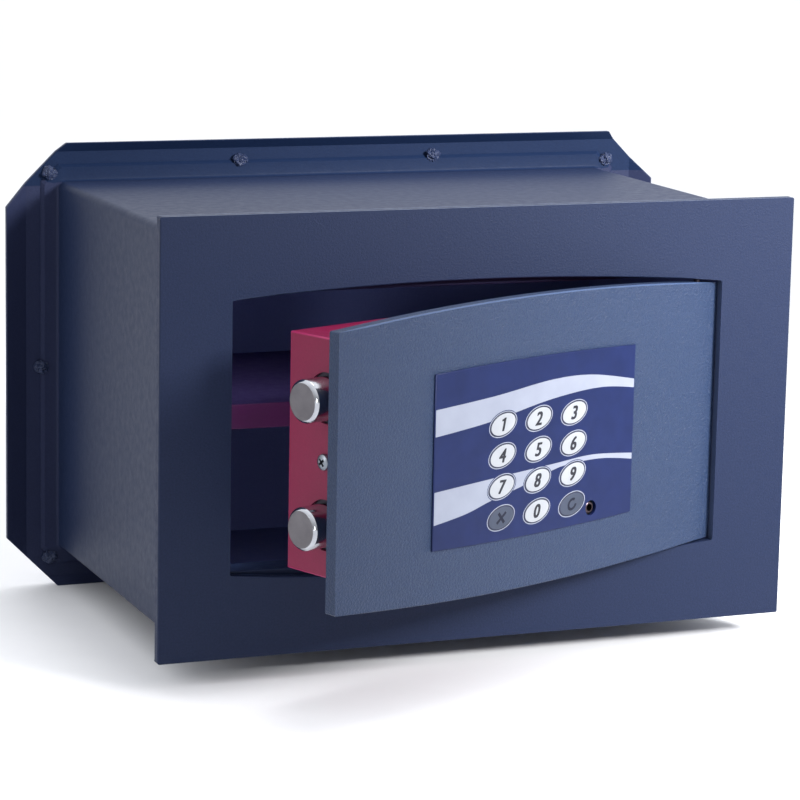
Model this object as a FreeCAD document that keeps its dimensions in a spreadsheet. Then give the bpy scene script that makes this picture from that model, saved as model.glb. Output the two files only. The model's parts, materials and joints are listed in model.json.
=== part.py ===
"""Wall safe with a hinged, motor-bolted door and a numeric keypad.

Millimetres. X runs to the right, Y to the rear and Z up. The origin is the centre of the rear
plate's back face, so the front plate's face lies at Y = -overall_depth. The door and all it carries
are drawn shut and then turned about the hinge by door_angle, which is how the safe is stored.
"""
import FreeCAD, Part
import math
import operator
import os
from types import SimpleNamespace

import Sketcher

# Driving dimensions: each is one cell of the spreadsheet, in millimetres or degrees.
DRIVING_SIZES = {
    # front plate and its arched opening
    "front_width": 310, "front_height": 200, "overall_depth": 200, "front_thick": 5,
    "opening_left": 121.5, "opening_right": 118.9, "opening_height": 124, "arch_rise": 5.2,
    "plate_corner": 1,
    # folded box behind the plate, with an outward rim at its rear end
    "box_width": 291.3, "box_height": 183.8, "box_wall": 2, "rim_width": 8.6, "rim_thick": 2,
    # rear plate, with edges folded a little forward and its corners cut off at 45 degrees
    "back_thick": 3, "back_shift": 1.4, "fold_width": 326, "fold_height": 213,
    "reach_upper_left": 253, "reach_upper_right": 261.5, "reach_lower": 257.5,
    "side_lip_out": 11, "side_lip_forward": 5, "top_lip_out": 4.5, "top_lip_forward": 4,
    "weld_radius": 3, "weld_spread": 52,
    # what stands behind the front plate
    "upper_stop_rise": 2.2, "stop_lap": 0.4, "stop_reach": 15, "stop_wall": 2, "stop_leg": 22,
    "stop_joggle": 2,
    "stop_end": 97, "keeper_width": 21, "keeper_thick": 8, "keeper_height": 96,
    "hinge_block_width": 16, "hinge_block_thick": 7, "hinge_block_height": 15,
    # shelf and its side supports
    "shelf_front": 65, "shelf_top": 2.5, "shelf_lip": 11.8, "sheet": 1.5, "shelf_end_gap": 2,
    "shelf_side_gap": 0.4, "support_width": 12, "support_height": 12, "support_inset": 3,
    # door and hinge
    "door_side_gap": 1.5, "door_heel_gap": 0.9, "door_end_gap": 1.1, "door_drop": 0.3,
    "door_thick": 6, "door_corner": 1,
    "door_angle": 21.58, "shut_gap": 0.3, "heel": 11, "pin_radius": 1.5, "pin_depth": 3,
    "pin_grip": 8, "pin_reach": 6, "running_gap": 0.05, "end_play": 0.5,
    # keypad
    "panel_left": 64.3, "panel_right": 62.2, "panel_top": 37, "panel_bottom": 41.2,
    "panel_rise": 1.3, "panel_proud": 1, "panel_skin": 1.6, "tray_left": 34, "tray_right": 42,
    "tray_top": 18.5, "tray_bottom": 40.5, "tray_wall": 0.8, "tray_deep": 5.2, "tray_gap": 0.1,
    "key_width": 16.3, "key_height": 9.9, "key_tilt": 14, "key_column": 22.6, "key_row": 14.05,
    "top_row": 10.2,
    "key_gap": 0.25, "key_proud": 0.35, "key_skirt": 0.8, "key_flange": 0.8, "key_travel": 0.6,
    "dome_radius": 3, "dome_height": 0.5, "board_thick": 1.6,
    "jack_x": 35.3, "jack_z": -35.5, "jack_radius": 1.75, "jack_ring": 2.5, "jack_well": 3.5,
    "jack_body": 3.6, "jack_long": 15, "jack_sunk": 0.9,
    # lock case
    "case_left": 14.3, "case_right": 38, "case_height": 104.8, "case_back": 47, "case_rise": 1.5,
    "pillar_radius": 3.5, "pillar_inset": 7, "pillar_left": 15, "pillar_right": 8,
    "screw_radius": 2, "screw_gap": 0.1, "screw_head": 3.6, "screw_head_thick": 2.2, "screw_grip": 10,
    "window_left": 24, "window_right": 66, "window_height": 44, "lid_lap": 4, "lid_thick": 1.4,
    "lid_gap": 0.2, "lid_grip": 9, "ridges": 4, "ridge_inset": 4, "ridge_pitch": 3, "ridge_wide": 1.5,
    "ridge_high": 1, "rail_wall": 1, "rail_side": 2, "rail_lap": 1.6,
    # bolts and their drive
    "bolt_radius": 9.5, "bolt_bevel": 1.4, "bolt_apart": 55.5, "bolt_depth": 23.4, "bolt_inside": 0.7,
    "bolt_long": 61, "bolt_hole_gap": 1.75, "bolt_throw": 14, "bar_thick": 4, "bar_height": 74,
    "bar_width": 17, "stud_radius": 2.5, "stud_long": 12, "stud_head": 4.2, "stud_head_thick": 2.8,
    "guide_plate": 4, "guide_long": 29.7, "guide_base": 2, "guide_height": 78, "guide_deep": 30,
    "gear_module": 1, "gear_teeth": 12, "gear_wide": 6, "gear_backlash": 0.24, "rack_teeth": 10,
    "rack_back": 5, "rack_high": 7, "pinion_from_bar": 14, "pinion_depth": 32, "shaft_radius": 2,
    "shaft_entry": 6, "bracket_gap": 1.5, "bracket_plate": 2, "bracket_wide": 22,
    "bracket_deep": 34, "bracket_foot": 16, "foot_end": 36, "motor_radius": 10, "motor_long": 36,
    # electronics and batteries
    "control_left": 8, "control_right": 76, "control_top": 32, "control_bottom": 28,
    "control_depth": 14, "standoff_radius": 2.5, "standoff_inset": 4,
    "chip_wide": 14, "chip_tall": 12, "chip_thick": 2,
    "relay_side": 12, "relay_thick": 7, "relay_over": 18, "relay_down": 14,
    "plug_wide": 8, "plug_tall": 16, "plug_thick": 5, "plug_over": 24, "plug_up": 12,
    "holder_left": 16, "holder_right": 74, "holder_wall": 1.5, "holder_gap": 0.5,
    "cell_radius": 7.1, "cell_long": 49, "cell_pitch": 14.6, "nub_radius": 2.7, "nub_long": 1.2,
    "ribbon_wide": 12, "ribbon_thick": 0.8, "ribbon_x": 20, "ribbon_jog": 10,
}

PLANES = {"x": "YZ_Plane", "y": "XZ_Plane", "z": "XY_Plane"}
AXES = {"x": FreeCAD.Vector(1, 0, 0), "y": FreeCAD.Vector(0, 1, 0), "z": FreeCAD.Vector(0, 0, 1)}
UP = AXES["z"]
CORNERS = ((-1, -1), (1, -1), (1, 1), (-1, 1))

KEY_ROWS = (
    ("key_1", "key_2", "key_3"),
    ("key_4", "key_5", "key_6"),
    ("key_7", "key_8", "key_9"),
    ("key_clear", "key_0", "key_reset"),
)

OPERATORS = {"+": operator.add, "-": operator.sub, "*": operator.mul, "/": operator.truediv}


class Size:
    """A number together with the spreadsheet formula that gives it."""

    def __init__(self, value, formula):
        self.value = float(value)
        self.formula = formula

    def joined(self, sign, other, swapped=False):
        first, second = (as_size(other), self) if swapped else (self, as_size(other))
        value = OPERATORS[sign](first.value, second.value)
        return Size(value, f"({first.formula} {sign} {second.formula})")

    def __float__(self):
        return self.value

    def __int__(self):
        return int(self.value)

    def __add__(self, other):
        return self.joined("+", other)

    def __radd__(self, other):
        return self.joined("+", other, swapped=True)

    def __sub__(self, other):
        return self.joined("-", other)

    def __rsub__(self, other):
        return self.joined("-", other, swapped=True)

    def __mul__(self, other):
        return self.joined("*", other)

    def __rmul__(self, other):
        return self.joined("*", other, swapped=True)

    def __truediv__(self, other):
        return self.joined("/", other)

    def __neg__(self):
        return self.joined("*", -1)


def as_size(number):
    """A plain number as a Size, and a Size as it is."""
    if isinstance(number, Size):
        return number
    return Size(number, f"({number})")


def write_sheet(document):
    """Fill the spreadsheet, and return its named cells as Sizes."""
    sheet = document.addObject("Spreadsheet::Sheet", "Sizes")
    for row, (name, value) in enumerate(DRIVING_SIZES.items(), start=1):
        sheet.set(f"A{row}", name)
        sheet.set(f"B{row}", str(value))
        sheet.setAlias(f"B{row}", name)
    document.recompute()
    return SimpleNamespace(**{name: Size(sheet.get(name), f"Sizes.{name}") for name in DRIVING_SIZES})


doc = FreeCAD.newDocument("WallSafe")
s = write_sheet(doc)
sub_parts = []


# ---------------------------------------------------------------- building blocks

def bind(item, property_name, size):
    item.setExpression(property_name, as_size(size).formula)


def place(item, x, y, z):
    for axis, size in zip("xyz", (x, y, z)):
        bind(item, f"Placement.Base.{axis}", size)


def block(name, x, y, z):
    """A box between the low and high ends given for each axis."""
    item = doc.addObject("Part::Box", name)
    for side, (low, high) in zip(("Length", "Width", "Height"), (x, y, z)):
        bind(item, side, high - low)
    place(item, x[0], y[0], z[0])
    return item


def along(axis, across, low):
    """A point from its place on one axis and its two other coordinates, in X, Y, Z order."""
    point = list(across)
    point.insert("xyz".index(axis), low)
    return point


def rod(name, axis, across, radius, low, high):
    """A round bar along one axis. across gives its other two coordinates."""
    item = doc.addObject("Part::Cylinder", name)
    bind(item, "Radius", radius)
    bind(item, "Height", high - low)
    item.Placement.Rotation = FreeCAD.Rotation(UP, AXES[axis])
    place(item, *along(axis, across, low))
    return item


def taper(name, axis, across, low_radius, high_radius, low, high):
    """A cone frustum along one axis."""
    item = doc.addObject("Part::Cone", name)
    bind(item, "Radius1", low_radius)
    bind(item, "Radius2", high_radius)
    bind(item, "Height", high - low)
    item.Placement.Rotation = FreeCAD.Rotation(UP, AXES[axis])
    place(item, *along(axis, across, low))
    return item


def oval(name, x, z, width, height, low, high):
    """An elliptical disc that faces the front, its long axis rising to the right, between two depths."""
    outline = doc.addObject("Part::Ellipse", name + "_outline")
    bind(outline, "MajorRadius", width / 2)
    bind(outline, "MinorRadius", height / 2)
    upright = FreeCAD.Rotation(AXES["x"], 90)
    outline.Placement.Rotation = FreeCAD.Rotation(AXES["y"], -float(s.key_tilt)) * upright
    place(outline, x, low, z)
    item = doc.addObject("Part::Extrusion", name)
    item.Base = outline
    item.DirMode = "Custom"
    item.Dir = AXES["y"]
    item.Solid = True
    bind(item, "LengthFwd", high - low)
    return item


def arc_between(start, end, radius):
    """The short counter-clockwise arc from start to end."""
    middle = (start + end) / 2
    chord = end - start
    outward = FreeCAD.Vector(chord.y, -chord.x, 0).normalize()
    rise = radius - math.sqrt(radius ** 2 - (chord.Length / 2) ** 2)
    return Part.Arc(start, middle + outward * rise, end)


def draw_outline(sketch, corners, arcs):
    """Draw a closed outline, counter-clockwise. arcs gives the radius of each curved side."""
    first = sketch.GeometryCount
    count = len(corners)
    points = [FreeCAD.Vector(float(across), float(up), 0) for across, up in corners]
    for side, start in enumerate(points):
        end = points[(side + 1) % count]
        curved = side in arcs
        sketch.addGeometry(arc_between(start, end, float(arcs[side])) if curved
                           else Part.LineSegment(start, end), False)
    for side in range(count):
        following = first + (side + 1) % count
        sketch.addConstraint(Sketcher.Constraint("Coincident", first + side, 2, following, 1))
    for side, corner in enumerate(corners):
        for kind, size in zip(("DistanceX", "DistanceY"), corner):
            fixed = sketch.addConstraint(
                Sketcher.Constraint(kind, -1, 1, first + side, 1, float(size)))
            bind(sketch, f"Constraints[{fixed}]", size)
    for side, radius in arcs.items():
        fixed = sketch.addConstraint(Sketcher.Constraint("Radius", first + side, float(radius)))
        bind(sketch, f"Constraints[{fixed}]", radius)


def prism(name, axis, outlines, low, high):
    """A body padded from a sketch across one axis: the first outline, less any further ones.

    Each outline is (corners, arcs). Corners are (X, Z) across y, (X, Y) across z, (Y, Z) across x.
    """
    body = doc.addObject("PartDesign::Body", name)
    plane = next(part for part in body.Origin.OriginFeatures if part.Role == PLANES[axis])
    sketch = body.newObject("Sketcher::SketchObject", name + "_sketch")
    sketch.AttachmentSupport = [(plane, "")]
    sketch.MapMode = "FlatFace"
    # the XZ plane faces the front, so a pad across y starts at its far end
    bind(sketch, "AttachmentOffset.Base.z", -as_size(high) if axis == "y" else low)
    for corners, arcs in outlines:
        draw_outline(sketch, corners, arcs)
    pad = body.newObject("PartDesign::Pad", name + "_pad")
    pad.Profile = sketch
    bind(pad, "Length", high - low)
    return body


def round_corners(body, axis, radius):
    """Round every edge of a body that runs along one axis."""
    doc.recompute()
    pad = body.Tip
    chosen = []
    for number, edge in enumerate(pad.Shape.Edges, start=1):
        straight = isinstance(edge.Curve, Part.Line)
        if straight and abs(edge.Curve.Direction.dot(AXES[axis])) > 0.999:
            chosen.append(f"Edge{number}")
    fillet = body.newObject("PartDesign::Fillet", body.Name + "_corners")
    fillet.Base = (pad, chosen)
    bind(fillet, "Radius", radius)


def group(name, items):
    item = doc.addObject("Part::Compound", name)
    item.Links = items
    return item


def fuse(name, items):
    item = doc.addObject("Part::MultiFuse", name)
    item.Shapes = items
    return item


def cut(name, base, tools):
    item = doc.addObject("Part::Cut", name)
    item.Base = base
    item.Tool = tools[0] if len(tools) == 1 else group(name + "_tools", tools)
    return item


def keep(item, swings=False):
    """Record a finished sub-part. One that swings is turned with the door about the hinge."""
    if swings:
        no_shift = "create(<<vector>>; 0; 0; 0)"
        turned = f"create(<<rotation>>; create(<<vector>>; 0; 0; 1); {s.door_angle.formula})"
        pivot = f"create(<<vector>>; {PIVOT_X.formula}; {PIVOT_Y.formula}; 0)"
        item.setExpression("Placement", f"create(<<placement>>; {no_shift}; {turned}; {pivot})")
    sub_parts.append(item)
    return item


def arched(half_width, low, high, rise):
    """An outline with straight sides and bowed top and bottom, as (corners, arcs)."""
    left, right = half_width if isinstance(half_width, tuple) else (-half_width, half_width)
    half = (right - left) / 2
    radius = (half * half + rise * rise) / (2 * rise)
    return [(left, low), (right, low), (right, high), (left, high)], {0: radius, 2: radius}


def mirrored(points, flip_first=False, flip_second=False):
    """Mirror an outline, and keep it counter-clockwise."""
    flipped = [(-a if flip_first else a, -b if flip_second else b) for a, b in points]
    return flipped[::-1] if flip_first != flip_second else flipped


# ---------------------------------------------------------------- shared places

FRONT = -s.overall_depth


def depth(distance):
    """Y of a plane at this distance behind the front plate's face."""
    return FRONT + distance


PLATE_BACK = depth(s.front_thick)
REAR_PLATE_FRONT = -s.back_thick
HALF_BOX = s.box_width / 2
BOX_TOP = s.box_height / 2
INNER_HALF = HALF_BOX - s.box_wall
INNER_TOP = BOX_TOP - s.box_wall
OPENING_LEFT = s.opening_left
OPENING = (-OPENING_LEFT, s.opening_right)
OPENING_TOP = s.opening_height / 2
DOOR_LEFT = OPENING_LEFT - s.door_side_gap
DOOR_RIGHT = s.opening_right - s.door_heel_gap
DOOR = (-DOOR_LEFT, DOOR_RIGHT)
DOOR_TOP = OPENING_TOP - s.door_end_gap
DOOR_BACK = depth(s.door_thick)
PIVOT_X = DOOR_RIGHT - s.heel
PIVOT_Y = depth(s.pin_depth)

CASE_LEFT = -DOOR_LEFT + s.case_left
CASE_RIGHT = DOOR_RIGHT - s.case_right
CASE_TOP = s.case_rise + s.case_height / 2
CASE_BOTTOM = s.case_rise - s.case_height / 2
CASE_BACK = depth(s.case_back)
CASE_INNER_LEFT = CASE_LEFT + s.sheet
CASE_INNER_BACK = CASE_BACK - s.sheet

BOLT_Y = depth(s.bolt_depth)
BOLT_HEIGHTS = (s.bolt_apart / 2, -s.bolt_apart / 2)
BOLT_LEFT = -DOOR_LEFT + s.bolt_inside
BAR_LEFT = BOLT_LEFT + s.bolt_long
BAR_RIGHT = BAR_LEFT + s.bar_thick
PINION_X = BAR_RIGHT + s.pinion_from_bar
PINION_Y = depth(s.pinion_depth)
PITCH_RADIUS = s.gear_module * s.gear_teeth / 2
SIDES = (1, -1)


def arch_height(span, end_height, x):
    """Height of a bowed edge at x, from its height at the ends of its span."""
    left, right = span
    half = (right - left) / 2
    from_middle = x - (left + right) / 2
    radius = (half * half + s.arch_rise * s.arch_rise) / (2 * s.arch_rise)
    return end_height + s.arch_rise - from_middle * from_middle / (2 * radius)


# ---------------------------------------------------------------- body of the safe

def front_plate():
    """Flat steel plate with the arched door opening and the blind bores of the hinge pins."""
    half_width = s.front_width / 2
    half_height = s.front_height / 2
    outline = [(-half_width, -half_height), (half_width, -half_height),
               (half_width, half_height), (-half_width, half_height)]
    opening = arched(OPENING, -OPENING_TOP, OPENING_TOP, s.arch_rise)
    plate = prism("front_plate_blank", "y", [(outline, {}), opening], FRONT, PLATE_BACK)
    round_corners(plate, "y", s.plate_corner)
    edge = arch_height(DOOR, DOOR_TOP, PIVOT_X)
    bore_end = edge + s.pin_reach + s.end_play
    radius = s.pin_radius + s.running_gap
    bore_start = OPENING_TOP - s.plate_corner
    bores = [rod("upper_pin_bore", "z", (PIVOT_X, PIVOT_Y), radius, bore_start, bore_end),
             rod("lower_pin_bore", "z", (PIVOT_X, PIVOT_Y), radius, -bore_end - s.door_drop, -bore_start)]
    return keep(cut("front_plate", plate, bores))


def box_shell():
    """Folded sheet box, open at the front, with a rim turned outwards at the rear."""
    rim_half = HALF_BOX + s.rim_width
    rim_top = BOX_TOP + s.rim_width
    outline = []
    for side_x, side_z in CORNERS:
        ends = [(side_x * HALF_BOX, side_z * rim_top), (side_x * rim_half, side_z * BOX_TOP)]
        outline += ends[::-1] if side_x * side_z > 0 else ends
    outer = block("box_outer", (-HALF_BOX, HALF_BOX), (PLATE_BACK, REAR_PLATE_FRONT), (-BOX_TOP, BOX_TOP))
    rim = prism("box_rim", "y", [(outline, {})], REAR_PLATE_FRONT - s.rim_thick, REAR_PLATE_FRONT)
    inside = block("box_inside", (-INNER_HALF, INNER_HALF), (PLATE_BACK, REAR_PLATE_FRONT),
                   (-INNER_TOP, INNER_TOP))
    return keep(cut("box_shell", fuse("box_solid", [outer, rim]), [inside]))


def rear_plate():
    """Anchoring plate, a little off centre, with its edges folded forward and its corners cut off."""
    half_width = s.fold_width / 2
    left, right = s.back_shift - half_width, s.back_shift + half_width
    top = s.fold_height / 2
    pieces = [block("rear_flat", (left, right), (REAR_PLATE_FRONT, as_size(0)), (-top, top))]
    lip_edge = half_width + s.side_lip_out
    side_lip = [(half_width, REAR_PLATE_FRONT), (lip_edge, REAR_PLATE_FRONT - s.side_lip_forward),
                (lip_edge, -s.side_lip_forward), (half_width, as_size(0))]
    top_lip = [(as_size(0), top), (-s.top_lip_forward, top + s.top_lip_out),
               (REAR_PLATE_FRONT - s.top_lip_forward, top + s.top_lip_out), (REAR_PLATE_FRONT, top)]
    for side in SIDES:
        word = "right" if side > 0 else "left"
        section = [(x + s.back_shift, y) for x, y in mirrored(side_lip, flip_first=side < 0)]
        pieces.append(prism(f"{word}_lip", "z", [(section, {})], -top, top))
        word = "top" if side > 0 else "bottom"
        section = mirrored(top_lip, flip_second=side < 0)
        pieces.append(prism(f"{word}_lip", "x", [(section, {})], left, right))
    edge_x = half_width + s.side_lip_out * 2
    edge_z = top + s.top_lip_out * 2
    low, upper_left, upper_right = s.reach_lower, s.reach_upper_left, s.reach_upper_right
    octagon = [(-(low - edge_z), -edge_z), (low - edge_z, -edge_z),
               (edge_x, -(low - edge_x)), (edge_x, upper_right - edge_x),
               (upper_right - edge_z, edge_z), (-(upper_left - edge_z), edge_z),
               (-edge_x, upper_left - edge_x), (-edge_x, -(low - edge_x))]
    trim = prism("corner_trim", "y", [(octagon, {})], REAR_PLATE_FRONT - s.side_lip_forward * 2, as_size(0))
    item = doc.addObject("Part::Common", "rear_plate")
    item.Base = fuse("rear_blank", pieces)
    item.Tool = trim
    return keep(item)


def weld_spots(shell, plate):
    """Short weld beads that join the box's rim to the rear plate."""
    rim_half = HALF_BOX + s.rim_width
    rim_top = BOX_TOP + s.rim_width
    half_cut = s.rim_width / 2
    places = [(side * s.weld_spread, end * rim_top) for side in SIDES for end in SIDES]
    places += [(side * rim_half, as_size(0)) for side in SIDES]
    places += [(side * (rim_half - half_cut), end * (rim_top - half_cut)) for side in SIDES for end in SIDES]
    beads = []
    for number, (x, z) in enumerate(places, start=1):
        bead = doc.addObject("Part::Sphere", f"weld_bead_{number}")
        bind(bead, "Radius", s.weld_radius)
        place(bead, x, REAR_PLATE_FRONT - s.rim_thick / 2, z)
        beads.append(bead)
    return keep(cut("weld_spots", group("weld_beads", beads), [shell, plate]))


def door_stops():
    """Upper and lower angle bars that the shut door's edges lie in front of."""
    face = DOOR_BACK + s.shut_gap
    low_ledge = OPENING_TOP - s.stop_lap
    joggle = arch_height(OPENING, OPENING_TOP, as_size(0)) + s.stop_joggle
    bars = []
    raised = low_ledge + s.upper_stop_rise
    for name, side, ledge in (("upper_stop", 1, raised), ("lower_stop", -1, low_ledge)):
        wall_end = low_ledge + s.stop_leg
        section = [(face, ledge), (face + s.stop_reach, ledge), (face + s.stop_reach, ledge + s.stop_wall),
                   (face + s.stop_wall, ledge + s.stop_wall), (face + s.stop_wall, wall_end),
                   (PLATE_BACK, wall_end), (PLATE_BACK, joggle), (face, joggle)]
        outline = mirrored(section, flip_second=side < 0)
        bars.append(prism(name, "x", [(outline, {})], -INNER_HALF, s.stop_end))
    return keep(group("door_stops", bars))


def bolt_keeper():
    """Thick bar behind the plate's left margin, which the thrown bolts pass behind."""
    height = s.keeper_height / 2
    corners = [(-INNER_HALF, -height), (-INNER_HALF + s.keeper_width, -height),
               (-INNER_HALF + s.keeper_width, height), (-INNER_HALF, height)]
    return keep(prism("bolt_keeper", "y", [(corners, {})], PLATE_BACK, PLATE_BACK + s.keeper_thick))


def hinge_blocks():
    """Blocks that stiffen the front plate behind each hinge pin."""
    half = s.hinge_block_width / 2
    low = arch_height(OPENING, OPENING_TOP, PIVOT_X) + s.stop_joggle
    high = low + s.hinge_block_height
    x = (PIVOT_X - half, PIVOT_X + half)
    y = (PLATE_BACK, PLATE_BACK + s.hinge_block_thick)
    return keep(group("hinge_blocks", [block("upper_hinge_block", x, y, (low, high)),
                                       block("lower_hinge_block", x, y, (-high, -low))]))


def shelf():
    """Removable sheet shelf with its front edge folded down."""
    front = depth(s.shelf_front)
    back = REAR_PLATE_FRONT - s.shelf_end_gap
    underside = s.shelf_top - s.sheet
    section = [(front, s.shelf_top - s.shelf_lip), (front + s.sheet, s.shelf_top - s.shelf_lip),
               (front + s.sheet, underside), (back, underside), (back, s.shelf_top), (front, s.shelf_top)]
    half = INNER_HALF - s.shelf_side_gap
    return keep(prism("shelf", "x", [(section, {})], -half, half))


def shelf_supports():
    """Angle under each end of the shelf."""
    top = s.shelf_top - s.sheet
    inner = -INNER_HALF + s.support_width
    section = [(-INNER_HALF, top - s.support_height), (-INNER_HALF + s.sheet, top - s.support_height),
               (-INNER_HALF + s.sheet, top - s.sheet), (inner, top - s.sheet),
               (inner, top), (-INNER_HALF, top)]
    y = (depth(s.shelf_front + s.support_inset), REAR_PLATE_FRONT - s.support_inset)
    pieces = [prism(name, "y", [(mirrored(section, flip_first=side > 0), {})], *y)
              for name, side in (("left_support", -1), ("right_support", 1))]
    return keep(group("shelf_supports", pieces))


# ---------------------------------------------------------------- door and keypad

def tray_box(name, inset, low, high):
    """The keypad tray's outline, taken in by inset, between two depths."""
    return block(name, (-s.tray_left + inset, s.tray_right - inset), (depth(low), depth(high)),
                 (-s.tray_bottom + inset, s.tray_top - inset))


def key_places():
    """Each key's name with the X and Z of its centre."""
    for row, names in enumerate(KEY_ROWS):
        for column, name in enumerate(names):
            yield name, (column - 1) * s.key_column, s.top_row - row * s.key_row


def door_plate():
    """Arched steel door with the keypad's cut-out and a hole for a hinge pin in each end."""
    blank = prism("door_blank", "y",
                  [arched(DOOR, -DOOR_TOP - s.door_drop, DOOR_TOP - s.door_drop, s.arch_rise)],
                  FRONT, DOOR_BACK)
    round_corners(blank, "y", s.door_corner)
    tools = [tray_box("keypad_cutout", as_size(0), as_size(0), s.door_thick)]
    tools += pin_rods("pin_hole")
    return keep(cut("door_plate", blank, tools), swings=True)


def pin_rods(name):
    edge = arch_height(DOOR, DOOR_TOP, PIVOT_X)
    spans = {"upper": (edge - s.door_drop - s.pin_grip, edge + s.pin_reach),
             "lower": (-edge - s.door_drop - s.pin_reach, -edge - s.door_drop + s.pin_grip)}
    return [rod(f"{end}_{name}", "z", (PIVOT_X, PIVOT_Y), s.pin_radius, *span)
            for end, span in spans.items()]


def keypad_frame():
    """Moulded keypad front: an arched bezel on the door's face and a tray in its cut-out."""
    bezel = prism("keypad_bezel", "y",
                  [arched((-s.panel_left, s.panel_right), -s.panel_bottom, s.panel_top, s.panel_rise)],
                  depth(-s.panel_proud), FRONT)
    solid = fuse("keypad_solid", [bezel, tray_box("tray_outer", s.tray_gap, as_size(0), s.tray_deep)])
    skin_back = s.panel_skin - s.panel_proud
    tools = [tray_box("tray_inside", s.tray_gap + s.tray_wall, skin_back, s.tray_deep)]
    for name, x, z in key_places():
        tools.append(oval(name + "_hole", x, z, s.key_width + 2 * s.key_gap, s.key_height + 2 * s.key_gap,
                          depth(-s.panel_proud), depth(skin_back)))
    tools.append(rod("jack_well", "y", (s.jack_x, s.jack_z), s.jack_well,
                     depth(-s.panel_proud), depth(skin_back)))
    return keep(cut("keypad_frame", solid, tools), swings=True)


KEY_FLANGE_FRONT = s.panel_skin - s.panel_proud + s.key_gap
KEY_BACK = KEY_FLANGE_FRONT + s.key_flange
DOME_FRONT = KEY_BACK + s.key_travel + s.key_gap
BOARD_FRONT = DOME_FRONT + s.dome_height


def keys():
    """Twelve sprung keys, each a separate elliptical cap with a retaining flange behind the skin."""
    for name, x, z in key_places():
        cap = oval(name + "_cap", x, z, s.key_width, s.key_height,
                   depth(-s.panel_proud - s.key_proud), depth(KEY_FLANGE_FRONT))
        flange = oval(name + "_flange", x, z, s.key_width + 2 * s.key_skirt, s.key_height + 2 * s.key_skirt,
                      depth(KEY_FLANGE_FRONT), depth(KEY_BACK))
        keep(fuse(name, [cap, flange]), swings=True)


def keypad_board():
    """Circuit board in the tray, with a dome switch under each key."""
    board = tray_box("keypad_board_sheet", s.tray_gap + s.tray_wall,
                     BOARD_FRONT, BOARD_FRONT + s.board_thick)
    domes = [rod(name + "_dome", "y", (x, z), s.dome_radius, depth(DOME_FRONT), depth(BOARD_FRONT))
             for name, x, z in key_places()]
    hole = rod("jack_board_hole", "y", (s.jack_x, s.jack_z), s.jack_ring + s.screw_gap,
               depth(DOME_FRONT), depth(BOARD_FRONT + s.board_thick))
    return keep(cut("keypad_board", fuse("keypad_board_solid", [board] + domes), [hole]), swings=True)


def jack_socket():
    """Round socket, sunk in a well of the panel, where an outside battery is plugged in."""
    centre = (s.jack_x, s.jack_z)
    start = depth(-s.panel_proud + s.jack_sunk)
    back = depth(BOARD_FRONT + s.board_thick)
    barrel = rod("jack_barrel", "y", centre, s.jack_ring, start, back)
    sleeve = rod("jack_sleeve", "y", centre, s.jack_body, back, start + s.jack_long)
    bore = rod("jack_bore", "y", centre, s.jack_radius, start, start + s.jack_long - s.sheet)
    return keep(cut("jack_socket", fuse("jack_solid", [barrel, sleeve]), [bore]), swings=True)


def hinge_pins():
    """Pins pressed into the door's ends."""
    return keep(group("hinge_pins", pin_rods("hinge_pin")), swings=True)


# ---------------------------------------------------------------- lock case on the door's back

PILLAR_PLACES = [(x, z) for z in (CASE_TOP - s.pillar_inset, CASE_BOTTOM + s.pillar_inset)
                 for x in (CASE_LEFT + s.pillar_left, CASE_RIGHT - s.pillar_right)]
LID_FRONT = CASE_BACK + s.lid_gap
LID_TOP = s.window_height / 2 + s.lid_lap
RAIL_LIP = LID_FRONT + s.lid_thick + s.lid_gap


def lock_case():
    """Folded sheet cover over the bolts, drive and batteries, with rails for the battery lid."""
    outer = block("case_outer", (CASE_LEFT, CASE_RIGHT), (DOOR_BACK, CASE_BACK), (CASE_BOTTOM, CASE_TOP))
    pieces = [outer]
    for side in SIDES:
        word = "upper" if side > 0 else "lower"
        edge = LID_TOP + s.lid_gap
        span = (s.window_left - s.lid_lap, CASE_RIGHT)
        web = (edge, edge + s.rail_side)
        lip = (edge - s.rail_lap, edge + s.rail_side)
        for part, y, z in (("web", (CASE_BACK, RAIL_LIP + s.rail_wall), web),
                           ("lip", (RAIL_LIP, RAIL_LIP + s.rail_wall), lip)):
            z = z if side > 0 else (-z[1], -z[0])
            pieces.append(block(f"{word}_rail_{part}", span, y, z))
    inside = block("case_inside", (CASE_INNER_LEFT, CASE_RIGHT - s.sheet), (DOOR_BACK, CASE_INNER_BACK),
                   (CASE_BOTTOM + s.sheet, CASE_TOP - s.sheet))
    window = block("battery_window", (s.window_left, s.window_right), (CASE_INNER_BACK, CASE_BACK),
                   (-s.window_height / 2, s.window_height / 2))
    tools = [inside, window]
    for number, z in enumerate(BOLT_HEIGHTS, start=1):
        tools.append(rod(f"bolt_hole_{number}", "x", (BOLT_Y, z), s.bolt_radius + s.bolt_hole_gap,
                         CASE_LEFT, CASE_INNER_LEFT))
    loose = s.screw_radius + s.screw_gap
    tools.append(rod("side_screw_hole", "x", (BOLT_Y, as_size(0)), loose, CASE_LEFT, CASE_INNER_LEFT))
    for number, place_xz in enumerate(PILLAR_PLACES, start=1):
        tools.append(rod(f"case_screw_hole_{number}", "y", place_xz, loose, CASE_INNER_BACK, CASE_BACK))
    return keep(cut("lock_case", fuse("case_solid", pieces), tools), swings=True)


def case_pillars():
    """Threaded pillars on the door that the case is screwed to."""
    pillars = [rod(f"pillar_{number}", "y", where, s.pillar_radius, DOOR_BACK, CASE_INNER_BACK)
               for number, where in enumerate(PILLAR_PLACES, start=1)]
    threads = [rod(f"pillar_thread_{number}", "y", where, s.screw_radius,
                   CASE_INNER_BACK - s.screw_grip, CASE_INNER_BACK)
               for number, where in enumerate(PILLAR_PLACES, start=1)]
    return keep(cut("case_pillars", group("pillar_rods", pillars), threads), swings=True)


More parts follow.
